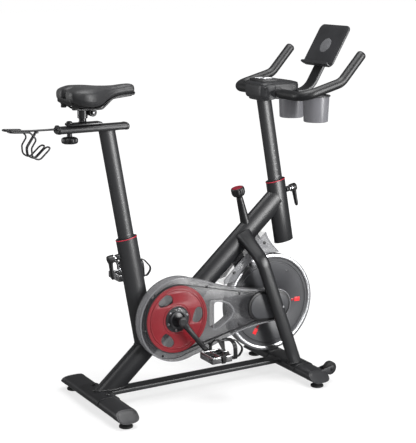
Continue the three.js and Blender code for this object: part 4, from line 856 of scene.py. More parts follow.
def guard_outline(inset=0.0):
    big, nose = GUARD_BIG - inset, GUARD_NOSE - inset
    outline = arc(0, CRANK_Z, big, 66, 292, 90)
    outline += quad(outline[-1], (120, 170 + inset), (190, 196 + inset))
    outline += quad(outline[-1], (280, 232 + inset), (GUARD_NOSE_X - 6, GUARD_NOSE_Z - nose))
    outline += arc(GUARD_NOSE_X, GUARD_NOSE_Z, nose, -90, 90, 36)
    outline += quad(outline[-1], (250, 376 - inset), (160, 416 - inset))
    outline += quad(outline[-1], (110, 438 - inset), arc(0, CRANK_Z, big, 66, 67, 1)[0])[:-1]
    return outline


def guard_window(grow=0.0):
    left = 152 - grow
    outline = [(left, 252 - grow), (left, 338 + grow)]
    outline += quad(outline[-1], (left + 1, 347 + grow), (162, 347 + grow), 5)
    outline += quad(outline[-1], (222 + grow, 340 + grow), (234 + grow, 301))
    outline += quad(outline[-1], (222 + grow, 272 - grow), (162, 246 - grow))
    outline += quad(outline[-1], (left + 1, 243 - grow), outline[0], 5)[:-1]
    return outline


def build_guard():
    y0, y1 = -69, -31
    hub = arc(0, CRANK_Z, 31, 0, 355, 71)
    face = plate("guard_face", [guard_outline(0.6), guard_window(0.6), hub], y0, y0 + 2.5, 0.5)
    finish(face, SMOKE, "frame", ["belt_guard_outer"])
    finish(plate("guard_rim", [guard_outline(), guard_outline(2.4)], y0 + 1.2, y1 - 3.4), SMOKE_EDGE, "frame")
    finish(plate("guard_lip", [guard_outline(0.2), guard_outline(5.5)], y0 - 1.0, y0 + 0.2, 0.3), SMOKE_EDGE,
           "frame")
    finish(plate("guard_window_wall", [guard_window(2.4), guard_window()], y0 + 1.2, y1 - 3.4), SMOKE_EDGE,
           "frame")
    finish(plate("guard_window_lip", [guard_window(7), guard_window(0.2)], y0 - 1.2, y0 + 0.2, 0.3),
           SMOKE_EDGE, "frame")
    back = plate("guard_back", [guard_outline(), guard_window(), arc(0, CRANK_Z, 34, 0, 355, 71),
                                arc(HUB_X, HUB_Z, 34, 0, 350, 35)], y1 - 3, y1, 0.5)
    finish(back, SMOKE_BACK, "frame", ["belt_guard_inner"])
    seam = plate("guard_seam", [guard_outline(-0.4), guard_outline(1.5)], y1 - 3.9, y1 - 2.9)
    finish(seam, BLACK, "frame")
    collar = [(27, y0 - 1), (30, y0 - 1.6), (34, y0 - 1), (34, y0), (31.5, y0 + 0.4), (31.5, y0 + 5),
              (27, y0 + 5), (27, y0 - 1)]
    finish(turned("guard_collar", collar, CRANK, Y, 72), PLATE, "frame")
    for i, (x, z) in enumerate(((-96, CRANK_Z + 106), (-138, CRANK_Z - 24), (-66, CRANK_Z - 127), (128, 192),
                                (118, 412), (262, 246), (262, 366))):
        bolt(f"guard_screw_{i + 1}", V(x, y0 - 0.2, z), -Y, 4, 2.4, "frame")
    shell = rod("bottom_bracket_skin", V(0, -38, CRANK_Z), V(0, 46, CRANK_Z), 26, 64, 1.5)
    finish(shell, POWDER, "frame", ["bottom_bracket"])
    lock = [(13, 0), (22, 0), (23, 1), (23, 4), (21, 5), (14, 5), (13, 4), (13, 0)]
    finish(turned("bearing_ring", lock, V(0, 46, CRANK_Z), Y, 48), STEEL, "frame")


def nose_outline(radius):
    return arc(358, 303, radius, 90, 270, 48) + arc(GUARD_NOSE_X, GUARD_NOSE_Z, radius, -90, 90, 48)


def build_hub_cover():
    y0 = -69.3
    finish(plate("hub_cover_base", [nose_outline(57)], y0 - 4, y0, 1.2), BLACK, "frame",
           ["hub_cover"])
    finish(plate("hub_cover_panel", [nose_outline(48)], y0 - 7, y0 - 3, 1.6), FACE, "frame")


# ------------------------------------------------------------------ brake
def fender_outline(inset=0.0):
    def under(x):
        return main_at(x).z - (MAIN_TUBE[0] + 1 + inset) / math.cos(MAIN_SLOPE)

    outline = [(214 + inset, 398), (214 + inset, under(214 + inset)), (400 - inset, under(400 - inset))]
    outline += quad(outline[-1], (412 - inset, 541), (459 - inset, 499 - inset), 16)
    return outline + arc(HUB_X, HUB_Z, FENDER_RADIUS, 82.6, 146, 48)


def build_brake():
    for s, word in HANDS:
        side = plate(f"fender_side_{word}", [fender_outline()], *sorted((s * 36, s * 33.5)), 0.4)
        finish(side, HAZE, "frame", ["fender"] if s < 0 else [])
        lip = plate(f"fender_lip_{word}", [fender_outline(), fender_outline(4)],
                    *sorted((s * 36.6, s * 35.8)))
        finish(lip, SMOKE_EDGE, "frame")
        for i, (x, z) in enumerate(((393, 540), (258, 440))):
            bolt(f"fender_bolt_{word}_{i + 1}", V(x, s * 36, z), Y * s, 5, 3.5, "frame")
    lid = plate("fender_lid", [fender_outline(), fender_outline(2.4)], -34, 34)
    finish(lid, SMOKE, "frame")
    top = KNOB_Z - KNOB_HEIGHT / 2 - 2
    low = main_tube_top(324)
    reach = (top - 4 - low.z) / ROD_UP.z
    profile = [(0, -16), (20, -16), (19.6, 4), (18.4, 7), (18.2, 26), (17.4, 29), (13.4, reach - 16),
               (12.6, reach - 4), (11.6, reach - 1), (10, reach), (8.5, reach - 1.6), (0, reach - 1.6)]
    finish(turned("tension_boot_skin", profile, rod_at(low.z), ROD_UP, 48), BLACK, "frame",
           ["tension_boot"])
    stem = rod("brake_rod_skin", rod_at(515), rod_at(top + 3), 7, 24, 0.6)
    finish(stem, SATIN, "brake", ["brake_rod"])
    build_knob(rod_at(top))
    shoe = arc(HUB_X, HUB_Z, SHOE_RADIUS, 98, 120, 20) + arc(HUB_X, HUB_Z, SHOE_INNER, 120, 98, 20)
    cheeks = [plate("cheek", [shoe], *sorted((s * 30, s * 27)), 0.5) for s in (-1, 1)]
    crown = plate("crown", [arc(HUB_X, HUB_Z, SHOE_RADIUS, 98, 120, 20)
                            + arc(HUB_X, HUB_Z, SHOE_RADIUS - 3.5, 120, 98, 20)], -29, 29, 0.5)
    finish(join("magnet_shoe", cheeks + [crown]), STEEL, "magnet", ["magnet_carriage"])


def main_tube_top(x):
    return main_at(x) + MAIN_ACROSS * MAIN_TUBE[0]


def build_knob(base):
    sides = 96
    rings = []
    for r, z, depth in ((14, 0, 0), (18, 0.6, 0), (21, 2.6, 0.2), (24, 7, 0.9), (25.6, 11, 1.6),
                        (26, 14, 1.8), (26, 26, 1.8), (25.4, 30, 1), (24, 32.6, 0.3), (22, 33.4, 0)):
        u, v = Y, ROD_UP.cross(Y)
        ring = []
        for i in range(sides):
            t = 2 * math.pi * i / sides
            radius = r - depth * (0.5 - 0.5 * math.cos(12 * t)) ** 2
            ring.append(base + ROD_UP * z + u * (radius * math.cos(t)) + v * (radius * math.sin(t)))
        rings.append(ring)
    finish(loft("tension_knob_grip", rings), BLACK, "knob", ["tension_knob"])
    cap = [(0, 29), (20.8, 29), (21, 33), (20, 33.9), (15, 34), (0, 34)]
    finish(turned("tension_knob_cap", cap, base, ROD_UP, 64), DARK_RED, "knob")


# ------------------------------------------------------------------ height locks
def build_lock(name, at, z, facing):
    axis_point = at(z)
    out = POST_FRONT * facing
    boss = turned(f"{name}_boss", [(6, 0), (11, 0), (11, 12), (10, 13.6), (6, 14), (6, 0)],
                  axis_point + out * 41, out, 40)
    finish(boss, POWDER, "frame")
    pin = turned(f"{name}_pin_skin", [(0, 33), (5, 33), (5, 56), (8, 56), (8.2, 57), (8.2, 60.4), (7.6, 61),
                                      (5, 61), (5, 66), (0, 66)], axis_point, out, 40)
    finish(pin, CHROME, f"{name}_pin", [f"{name}_pin"])
    ring = [(9, 61.6), (14, 61.6), (14.6, 62.4), (14.6, 65.6), (14, 66.4), (9, 66.4), (9, 61.6)]
    finish(turned(f"{name}_lever_ring", ring, axis_point, out, 48), CHROME, f"{name}_lever")
    head = [(6, 66.6), (14, 66.6), (15, 68), (15, 82), (14, 85), (11, 86.2), (0, 86.4), (0, 68), (6, 67),
            (6, 66.6)]
    start = axis_point + out * 77

    def ring_at(down, forward, w, t):
        return oval(start - POST_UP * down + POST_FRONT * (facing * forward), Y, POST_FRONT, w, t, 32, 2.8)

    handle = loft("handle", [ring_at(0, 0, 11, 8), ring_at(12, 0, 10, 7.4), ring_at(26, 1, 9, 6.6),
                             ring_at(46, 2, 8.6, 6), ring_at(62, 3, 8.4, 5.6), ring_at(71, 3, 7.4, 4.8),
                             ring_at(75, 3, 5, 3.2), ring_at(76.2, 3, 2, 1.4)])
    grip = join(f"{name}_lever_skin", [turned("head", head, axis_point, out, 48), handle])
    finish(grip, BLACK, f"{name}_lever", [f"{name}_lever"])


# ------------------------------------------------------------------ posts
def build_post(name, low, high, body, ticks, at):
    finish(bar(f"{name}_skin", low, high, POST_FRONT, *POST, 64), POWDER, body, [name])
    marks = []
    for i, z in enumerate(ticks):
        for s in (-1, 1):
            wide = 7 if i == 0 else 2.6
            point = at(z) + V(4, s * 15.9, 0)
            marks.append(bar("mark", point - POST_FRONT * wide, point + POST_FRONT * wide, Y, 0.35, 1.5, 12,
                             4))
    finish(join(f"{name}_height_marks", marks), MARK, body)


def build_posts():
    build_post("seat_post", seat_at(494), seat_at(RAIL_Z - 9), "seat_post",
               [632] + [656 + 31 * i for i in range(8)], seat_at)
    build_post("handlebar_post", head_at(657), head_at(1084), "handlebar",
               [786] + [810 + 25 * i for i in range(5)], head_at)


# ------------------------------------------------------------------ rail, rack and saddle mount
def build_rail():
    start, end = V(RAIL_X0 + 4, 0, RAIL_Z), V(RAIL_X1 - 3, 0, RAIL_Z)
    rail = bar("seat_rail_skin", start, end, Z, RAIL_HALF, RAIL_WIDTH, 64, 3)
    finish(rail, SATIN, "seat_post", ["seat_rail"])
    for x, s, word in ((RAIL_X1, 1, "front"), (RAIL_X0, -1, "rear")):
        stations = ((-4, 0.3), (-3.6, 0.8), (1, 1), (3.4, 0.6), (6, -1.2), (7.6, -3.6), (8, -5.5))
        rings = [oval(V(x + s * d, 0, RAIL_Z), Z, Y, RAIL_HALF + g, RAIL_WIDTH + g, 64, 3)
                 for d, g in stations]
        finish(loft(f"seat_rail_cap_{word}", rings), BLACK, "seat_post")
    ring = oval(seat_at(RAIL_Z - RAIL_HALF + 0.5), POST_FRONT, Y, POST[0] + 0.6, POST[1] + 0.4, 84)
    weld("seat_rail_weld", [V(p.x, p.y, RAIL_Z - RAIL_HALF * (1 - abs(p.y / RAIL_WIDTH) ** 3 * 0.5))
                            for p in ring], 2.2, "seat_post")
    slot = []
    for s in (-1, 1):
        z = RAIL_Z + s * RAIL_HALF
        slot.append(bar("slot", V(SLIDER_X - 26, 0, z - 0.4), V(SLIDER_X + 86, 0, z - 0.4), Y, 5, 0.7, 24, 3))
    finish(join("seat_rail_slot", slot), BLACK, "seat_post")
    socket = turned("rack_socket", [(0, -2), (15, -2), (15.5, -1), (15.5, 7), (14.6, 8), (11, 8), (10, 6),
                                    (0, 6)], V(RAIL_X0, 0, RAIL_Z + 3), -X, 48)
    finish(socket, BLACK, "seat_post")


def build_rack():
    z = RAIL_Z + 5
    wires = []
    for s in (-1, 1):
        inner, outer = s * 4.2, s * 43
        corners = [(V(RAIL_X0 - 5, inner, z), 0), (V(-520, inner, z + 1), 40), (V(-614, inner, z + 6), 16),
                   (V(-614, outer, z + 6), 16), (V(-546, outer, z + 2), 14), (V(-523, outer, 1003), 12),
                   (V(-542, outer, 975), 16), (V(-540, outer, 946), 18), (V(-516, outer, 931), 18),
                   (V(-472, outer, 971), 15), (V(-472, inner, 971), 15), (V(-516, inner, 931), 18),
                   (V(-540, inner, 946), 18), (V(-542, inner, 972), 20), (V(-508, inner, 1021), 0)]
        wires.append(sweep("wire", rounded(corners, 7), RACK_WIRE, RACK_WIRE, Y, 16, tip=2))
    for x, low in ((-505, 1017.5), (-596, 1028)):
        wires.append(bar("bridge", V(x, -8, low + 3.5), V(x, 8, low + 3.5), X, 5, 3, 24, 4, 1))
    finish(join("rack_wire", wires), SATIN, "seat_post", ["dumbbell_rack"])


def build_carriage():
    z0, z1 = RAIL_Z + RAIL_HALF + 0.3, 1043
    middle = (z0 + z1) / 2
    body = bar("carriage_skin", V(-392, 0, middle), V(-268, 0, middle), Z, (z1 - z0) / 2, 22, 48, 5, 2.5)
    stem = rod("stem", V(STEM_X, 0, z0 + 1), V(STEM_X, 0, 1086), 12.7, 48, 1)
    foot = turned("stem_foot", [(12, 0), (17, 0), (15.4, 1.4), (13.6, 3.6), (12.9, 7), (12, 7), (12, 0)],
                  V(STEM_X, 0, z1 - 0.4), Z, 48)
    finish(join("seat_carriage_skin", [body, stem, foot]), SATIN, "carriage", ["seat_carriage"])
    plug = turned("stem_plug", [(0, 0), (11.5, 0), (11.5, 1), (9, 2.6), (0, 3.2)], V(STEM_X, 0, 1086), Z, 40)
    finish(plug, BLACK, "carriage")
    shank = rod("slider_bolt", V(SLIDER_X, 0, RAIL_Z - 36), V(SLIDER_X, 0, z0 + 1), 4, 24)
    finish(shank, STEEL, "carriage")
    bolt("slider_nut", V(SLIDER_X, 0, z1 - 0.3), Z, 10.5, 8, "carriage", socket=False)
    build_slider_knob()
    build_clamp()


def build_slider_knob():
    z = RAIL_Z - RAIL_HALF - 0.3
    profile = ((9, 0, 0), (9, -9, 0), (11, -12.4, 0), (22, -13.4, 0.3), (26, -15.2, 0.7), (28.6, -18.5, 1),
               (29, -22, 1), (28.8, -28, 1), (27, -32.4, 0.8), (23.5, -34.6, 0.4), (16, -35, 0))
    sides = 96
    rings = []
    for r, h, depth in profile:
        ring = []
        for i in range(sides):
            t = 2 * math.pi * i / sides
            radius = r - 4.6 * depth * (0.5 + 0.5 * math.cos(6 * t)) ** 1.6
            ring.append(V(SLIDER_X + radius * math.cos(t), radius * math.sin(t), z + h))
        rings.append(ring)
    finish(loft("slider_knob_skin", rings), BLACK, "slider_knob", ["slider_knob"])
    cap = turned("slider_knob_cap", [(0, 0), (13, 0), (12.4, 1.2), (8, 1.9), (0, 2)],
                 V(SLIDER_X, 0, z - 34.6), -Z, 40)
    finish(cap, PLATE, "slider_knob")


def build_clamp():
    px, pz = SADDLE_PIVOT
    sleeve = turned("sleeve", [(13, 1058), (16.6, 1058), (17.5, 1059), (17.5, 1087), (16.6, 1088), (13, 1088),
                               (13, 1058)], V(STEM_X, 0, 0), Z, 48)
    drum = rod("drum", V(px, -11, pz), V(px, 11, pz), 13, 48, 1)
    neck = bar("neck", V(STEM_X + 8, 0, 1077), V(px, 0, pz), Z, 9, 10, 32, 4)
    finish(join("saddle_clamp_skin", [sleeve, drum, neck]), SATIN, "carriage", ["saddle_clamp"])
    shank = rod("clamp_bolt", V(px, -33, pz), V(px, 33, pz), 4, 24)
    finish(shank, STEEL, "carriage")
    for s, word in HANDS:
        nut = turned(f"clamp_nut_{word}", [(4, 30), (8.6, 30), (9, 30.6), (9, 35), (8, 36), (4, 36), (4, 30)],
                     V(px, 0, pz), Y * s, 6)
        finish(nut, SATIN, "carriage", bevel=0.5)


# ------------------------------------------------------------------ saddle
SADDLE_STATIONS = (  # X, half width, lowest and highest Z
    (-406, 56, 1124, 1150), (-399, 74, 1112, 1162), (-374, 89, 1103, 1168), (-345, 92, 1097, 1168),
    (-315, 84, 1095, 1167),
    (-285, 66, 1099, 1165), (-255, 47, 1112, 1164), (-220, 34, 1124, 1164), (-180, 27, 1129, 1167),
    (-152, 23, 1129, 1168),
    (-141, 19, 1130, 1164), (-136, 13, 1134, 1158),
)


def spline(rows, steps):
    """Rows of numbers made denser with a smooth curve through them."""
    dense = []
    for i in range(len(rows) - 1):
        p = [rows[max(i - 1, 0)], rows[i], rows[i + 1], rows[min(i + 2, len(rows) - 1)]]
        for s in range(steps):
            t = s / steps
            dense.append([b + 0.5 * t * (c - a + t * (2 * a - 5 * b + 4 * c - d + t * (3 * (b - c) + d - a)))
                          for a, b, c, d in zip(*p)])
    dense.append(list(rows[-1]))
    return dense


def saddle_section(x, bottom, top, half, sides, power):
    return oval(V(x, 0, (bottom + top) / 2), Y, Z, half, (top - bottom) / 2, sides, power)


def build_saddle():
    px, pz = SADDLE_PIVOT
    rails = []
    for s in (-1, 1):
        corners = [(V(-386, 33 * s, 1108), 0), (V(-360, 29 * s, 1091), 14), (V(-330, 25 * s, 1089), 14),
                   (V(-270, 25 * s, 1089), 20), (V(-226, 17 * s, 1122), 20), (V(-150, 9 * s, 1128), 0)]
        rails.append(sweep("rail", rounded(corners, 8), 3.5, 3.5, Y, 20))
    rails.append(bar("bridge", V(-152, -10, 1128), V(-152, 10, 1128), X, 4, 3.5, 24, 3, 1))
    finish(join("saddle_rail_wires", rails), SATIN, "saddle", ["saddle_rails"])
    discs = []
    for s in (-1, 1):
        profile = [(4.6, 12), (13, 12), (14, 13)]
        for i in range(5):
            profile += [(14, 14 + i * 2.6), (13.3, 15.2 + i * 2.6)]
        profile += [(14, 27.5), (13, 29), (9.5, 29), (9, 27.6), (4.6, 27.6), (4.6, 12)]
        discs.append(turned("disc", profile, V(px, 0, pz), Y * s, 48))
    finish(join("saddle_clamp_discs", discs), SATIN, "saddle")

    rows = spline(SADDLE_STATIONS, 5)
    shell = [saddle_section(x + 2 if x < -390 else x, low - 2, low + 5.5, w * 0.86, 56, 3)
             for x, w, low, high in rows]
    finish(loft("saddle_base_skin", shell), BLACK, "saddle", ["saddle_base"])
    for s, word in HANDS:
        profile = [(0, 0), (8.4, 0), (10, 1.6), (10, 6), (8.8, 8), (8.8, 9), (10.4, 11), (10.4, 17), (0, 17)]
        finish(turned(f"saddle_bumper_{word}", profile, V(-383, 46 * s, 1093), Z, 40), RUBBER, "saddle")
    build_cushion(rows)


def build_cushion(rows):
    """The cushion is blown up a little as cloth, then gets its notch, channel and seam."""
    shrink = 2.0
    rings = [saddle_section(x, low + 4, high - shrink, w - shrink, 64, 3.6) for x, w, low, high in rows]
    cushion = loft("saddle_cushion_skin", rings)
    remesh = cushion.modifiers.new("voxels", "REMESH")
    remesh.voxel_size = 0.0042
    apply_modifiers(cushion)
    blow_up(cushion, 0.0022)
    smooth = cushion.modifiers.new("even", "SMOOTH")
    smooth.factor = 0.5
    smooth.iterations = 2
    subdivide = cushion.modifiers.new("fine", "SUBSURF")
    subdivide.levels = subdivide.render_levels = 1
    apply_modifiers(cushion)
    carve_cushion(cushion)
    finish(cushion, HIDE, "saddle", ["saddle_cushion"], angle=70)


def apply_modifiers(obj):
    graph = bpy.context.evaluated_depsgraph_get()
    made = bpy.data.meshes.new_from_object(obj.evaluated_get(graph))
    obj.modifiers.clear()
    obj.data = made


def blow_up(obj, cap):
    """A short cloth run under inside pressure, in which no point moves further than cap."""
    scene = bpy.context.scene
    start = [v.co.copy() for v in obj.data.vertices]
    cloth = obj.modifiers.new("cloth", "CLOTH")
    cloth.settings.use_pressure = True
    cloth.settings.uniform_pressure_force = 4
    cloth.settings.tension_stiffness = cloth.settings.compression_stiffness = 25
    cloth.settings.bending_stiffness = 2
    cloth.settings.effector_weights.gravity = 0
    cloth.point_cache.frame_start, cloth.point_cache.frame_end = 1, 20
    for number in range(1, 21):
        scene.frame_set(number)
    apply_modifiers(obj)
    scene.frame_set(1)
    for vert, home in zip(obj.data.vertices, start):
        move = vert.co - home
        if move.length > cap:
            vert.co = home + move * (cap / move.length)


def carve_cushion(obj):
    """Cuts the notch between the two rear lobes, the shallow channel, and the seam round the side."""
    for vert in obj.data.vertices:
        x, y, z = vert.co.x / MM - CRANK_X / MM, vert.co.y / MM, vert.co.z / MM
        across = math.exp(-(y / 13) ** 2)
        back = 1 / (1 + math.exp((x + 370) / 9))
        vert.co.x += 17 * MM * across * back
        if z > 1146:
            reach = 1 / (1 + math.exp((x + 233) / 16))
            vert.co.z -= (2.6 * reach + 6 * back) * MM * math.exp(-(y / 11) ** 2)
            vert.co.z += 1.6 * MM * reach * (1 - back) * math.exp(-((abs(y) - 42) / 20) ** 2)
        low = saddle_low(x)
        seam = math.exp(-((z - low - 21) / 1.3) ** 2)
        vert.co.y -= math.copysign(0.9 * MM * seam, y) if abs(y) > 8 else 0


def saddle_low(x):
    for (x0, _, low0, _), (x1, _, low1, _) in zip(SADDLE_STATIONS, SADDLE_STATIONS[1:]):
        if x <= x1:
            return low0 + (low1 - low0) * max(x - x0, 0) / (x1 - x0)
    return SADDLE_STATIONS[-1][2]


# ------------------------------------------------------------------ handlebar
TIP_WAY = V(92, 0, 101).normalized()


def bar_corners(s, beyond=0.0):
    return [(V(BAR_X, s * BAR_HALF, BAR_Z), 48), (V(592, s * BAR_HALF, 1152), 60),
            (V(684, s * BAR_HALF, 1253) + TIP_WAY * beyond, 0)]


def build_handlebar():
    corners = [(V(BAR_X, -100, BAR_Z), 0), (V(BAR_X, 100, BAR_Z), 0)]
    finish(sweep("crossbar", rounded(corners, 2), 15, 15, Z, 32), SATIN, "handlebar", ["handlebar"])
    for s, word in HANDS:
        path = rounded([(V(BAR_X, s * 95, BAR_Z), 0)] + bar_corners(s, -8), 12)
        even = respace(path, 6)
        grip = sweep(f"grip_skin_{word}", even, GRIP_RADIUS, GRIP_RADIUS, Z, 40, tip=11.5)
        finish(grip, FOAM, "handlebar", [f"grip_{word}"], angle=60)
        collar = turned(f"grip_collar_{word}", [(15, 0), (18.4, 0), (19, 0.6), (19, 4.4), (18.4, 5), (15, 5),
                                                (15, 0)], V(BAR_X, s * 90, BAR_Z), Y * s, 48)
        finish(collar, BLACK, "handlebar")


def respace(path, step):
    """The same path with points an even step apart."""
    lengths = [0]
    for p, q in zip(path, path[1:]):
        lengths.append(lengths[-1] + (q - p).length)
    count = max(round(lengths[-1] / step), 1)
    points, k = [], 0
    for i in range(count + 1):
        d = lengths[-1] * i / count
        while k < len(path) - 2 and lengths[k + 1] < d:
            k += 1
        points.append(path[k].lerp(path[k + 1], (d - lengths[k]) / (lengths[k + 1] - lengths[k])))
    return points


# ------------------------------------------------------------------ console
CONSOLE_STATIONS = (  # X, half width, lowest and highest Z
    (357.5, 46, 1100, 1131), (359, 53, 1094, 1138), (364, 60, 1088, 1146), (374, 64, 1085.5, 1149),
    (400, 66, 1085, 1150), (440, 66, 1086, 1150),
    (470, 66, 1096, 1150), (505, 64, 1108, 1149), (518, 61, 1111, 1146), (523, 56, 1114, 1141),
    (524.5, 48, 1119, 1134),
)


def build_console():
    rings = [oval(V(x, 0, (low + high) / 2), Y, Z, w, (high - low) / 2, 96, 5.5)
             for x, w, low, high in CONSOLE_STATIONS]
    finish(loft("console_skin", rings), PLATE, "handlebar", ["console"], angle=50)
    rim = [(x, w, high) for x, w, low, high in spline(CONSOLE_STATIONS[2:-2], 4)]
    edge = [V(x, -w * 0.985, high - 3.4) for x, w, high in rim]
    edge += [V(524.4, y, 1142) for y in (-40, 0, 40)]
    edge += [V(x, w * 0.985, high - 3.4) for x, w, high in rim[::-1]]
    edge += [V(358.2, y, 1139) for y in (40, 0, -40)]
    finish(sweep("console_seam", respace(edge + [edge[0]], 5)[:-1], 0.9, 0.9, Z, 8, loop=True), BLACK,
           "handlebar")
    brace = bar("console_brace", head_at(1085), head_at(1136), POST_FRONT, POST[0] + 4, 67, 64, 4, 2)
    finish(brace, PLATE, "handlebar")
    for s, word in HANDS:
        boss = turned(f"console_socket_{word}", [(15.2, 0), (22, 0), (22.4, 0.8), (21.6, 3.4), (18.6, 4.6),
                                                 (15.2, 4.6), (15.2, 0)], V(BAR_X, s * 65.6, BAR_Z), Y * s,
                      48)
        finish(boss, PLATE, "handlebar")
        for i, x in enumerate((372, 500)):
            bolt(f"console_screw_{word}_{i + 1}", V(x, s * 64.5, 1128), Y * s, 3.4, 2.2, "handlebar")
    build_display()


DIGIT_Z = 1159.2


def build_display():
    case = bar("display_case", V(372, 0, 1152.5), V(448, 0, 1152.5), Y, 46, 6, 64, 7, 2)
    finish(case, BLACK, "handlebar")
    glass = bar("display_glass", V(380, 0, 1158.6), V(440, 0, 1158.6), Y, 39, 0.6, 64, 9, 0.5)
    finish(glass, GLASS, "handlebar")
    for row, (number, size) in enumerate((("0:24", 25), ("88", 17))):
        x0 = 387 + row * 31
        bars = []
        total = sum(6 if c == ":" else size * 0.74 for c in number)
        y = total / 2
        for c in number:
            if c == ":":
                for f in (0.3, 0.7):
                    bars.append(bar("dot", V(x0 + size * f, y - 1.6, DIGIT_Z),
                                    V(x0 + size * f, y - 4.4, DIGIT_Z), X, 1.4, 0.25, 8, 4))
                y -= 6
                continue
            bars += digit(c, x0, y, size)
            y -= size * 0.74
        finish(join(f"display_digits_{row + 1}", bars), DIGITS, "handlebar")


SEGMENTS = {"0": "abcdef", "2": "abged", "4": "fgbc", "8": "abcdefg"}


def digit(c, x0, y0, size):
    """One seven-segment digit, read from behind the bike: its top is towards the front."""
    wide = size * 0.5
    places = {"a": ((1, 0), (1, 1)), "b": ((1, 1), (0.5, 1)), "c": ((0.5, 1), (0, 1)), "d": ((0, 0), (0, 1)),
              "e": ((0.5, 0), (0, 0)), "f": ((1, 0), (0.5, 0)), "g": ((0.5, 0), (0.5, 1))}
    bars = []
    for segment in SEGMENTS[c]:
        (u0, v0), (u1, v1) = places[segment]
        start, end = V(x0 + size * u0, y0 - wide * v0, DIGIT_Z), V(x0 + size * u1, y0 - wide * v1, DIGIT_Z)
        along = (end - start).normalized()
        bars.append(bar("segment", start + along * 0.9, end - along * 0.9, along.cross(Z), 1.5, 0.25, 8, 4))
    return bars


# ------------------------------------------------------------------ cups and tablet
def build_cups():
    z0, z1 = CUP_Z1 + 0.3, CUP_Z1 + 7
    rings = []
    for s in (-1, 1):
        out, hole = CUP_RADIUS + 4, CUP_RADIUS - 2.5
        top = z1 - 2
        profile = [(hole, z0), (out - 1, z0), (out, z0 + 1), (out, top - 1), (out - 1, top), (hole + 1, top),
                   (hole, top - 1), (hole, z0)]
        rings.append(turned("ring", profile, V(CUP_X, s * CUP_Y, 0), Z, 96))
    finish(join("cup_rings", rings), PLATE, "handlebar", ["cup_tray"])
    neck = bar("cup_tray_neck", V(508, 0, (z0 + z1) / 2), V(CUP_X + 20, 0, (z0 + z1) / 2), Z, 3.7, 40, 48, 6,
               1)
    finish(neck, PLATE, "handlebar")
    post = bar("cup_tray_post", V(507, 0, z0), V(507, 0, 1114), X, 10, 30, 40, 5, 1)
    finish(post, PLATE, "handlebar")
    pad = bar("cup_tray_pad", V(CUP_X - 12, 0, z1 + 1), V(CUP_X + 16, 0, z1 + 1), Z, 2.6, 36, 40, 6, 0.8)
    finish(pad, BLACK, "handlebar")
    for s in (-1, 1):
        for x in (CUP_X - 6, CUP_X + 9):
            bolt(f"cup_tray_bolt_{'right' if s < 0 else 'left'}_{'rear' if x < CUP_X else 'front'}",
                 V(x, s * 31, z1 + 3.2), Z, 3, 2.4, "handlebar")
    height = CUP_Z1 - CUP_Z0
    for s, word in HANDS:
        low, top = CUP_FOOT, CUP_RADIUS
        profile = [(0, 2.2), (low - 8, 2.2), (low - 6, 0), (low - 3, 0), (low - 0.6, 1.4), (low, 4),
                   (top, height - 2), (top, height), (top - 0.8, height + 0.4), (top - 2, height),
                   (top - 2.4, height - 2), (low - 2.5, 6), (low - 4, 4.6), (0, 4.4)]
        finish(turned(f"cup_wall_{word}", profile, V(CUP_X, s * CUP_Y, CUP_Z0), Z, 96), CUP, "handlebar",
               [f"cup_{word}"])


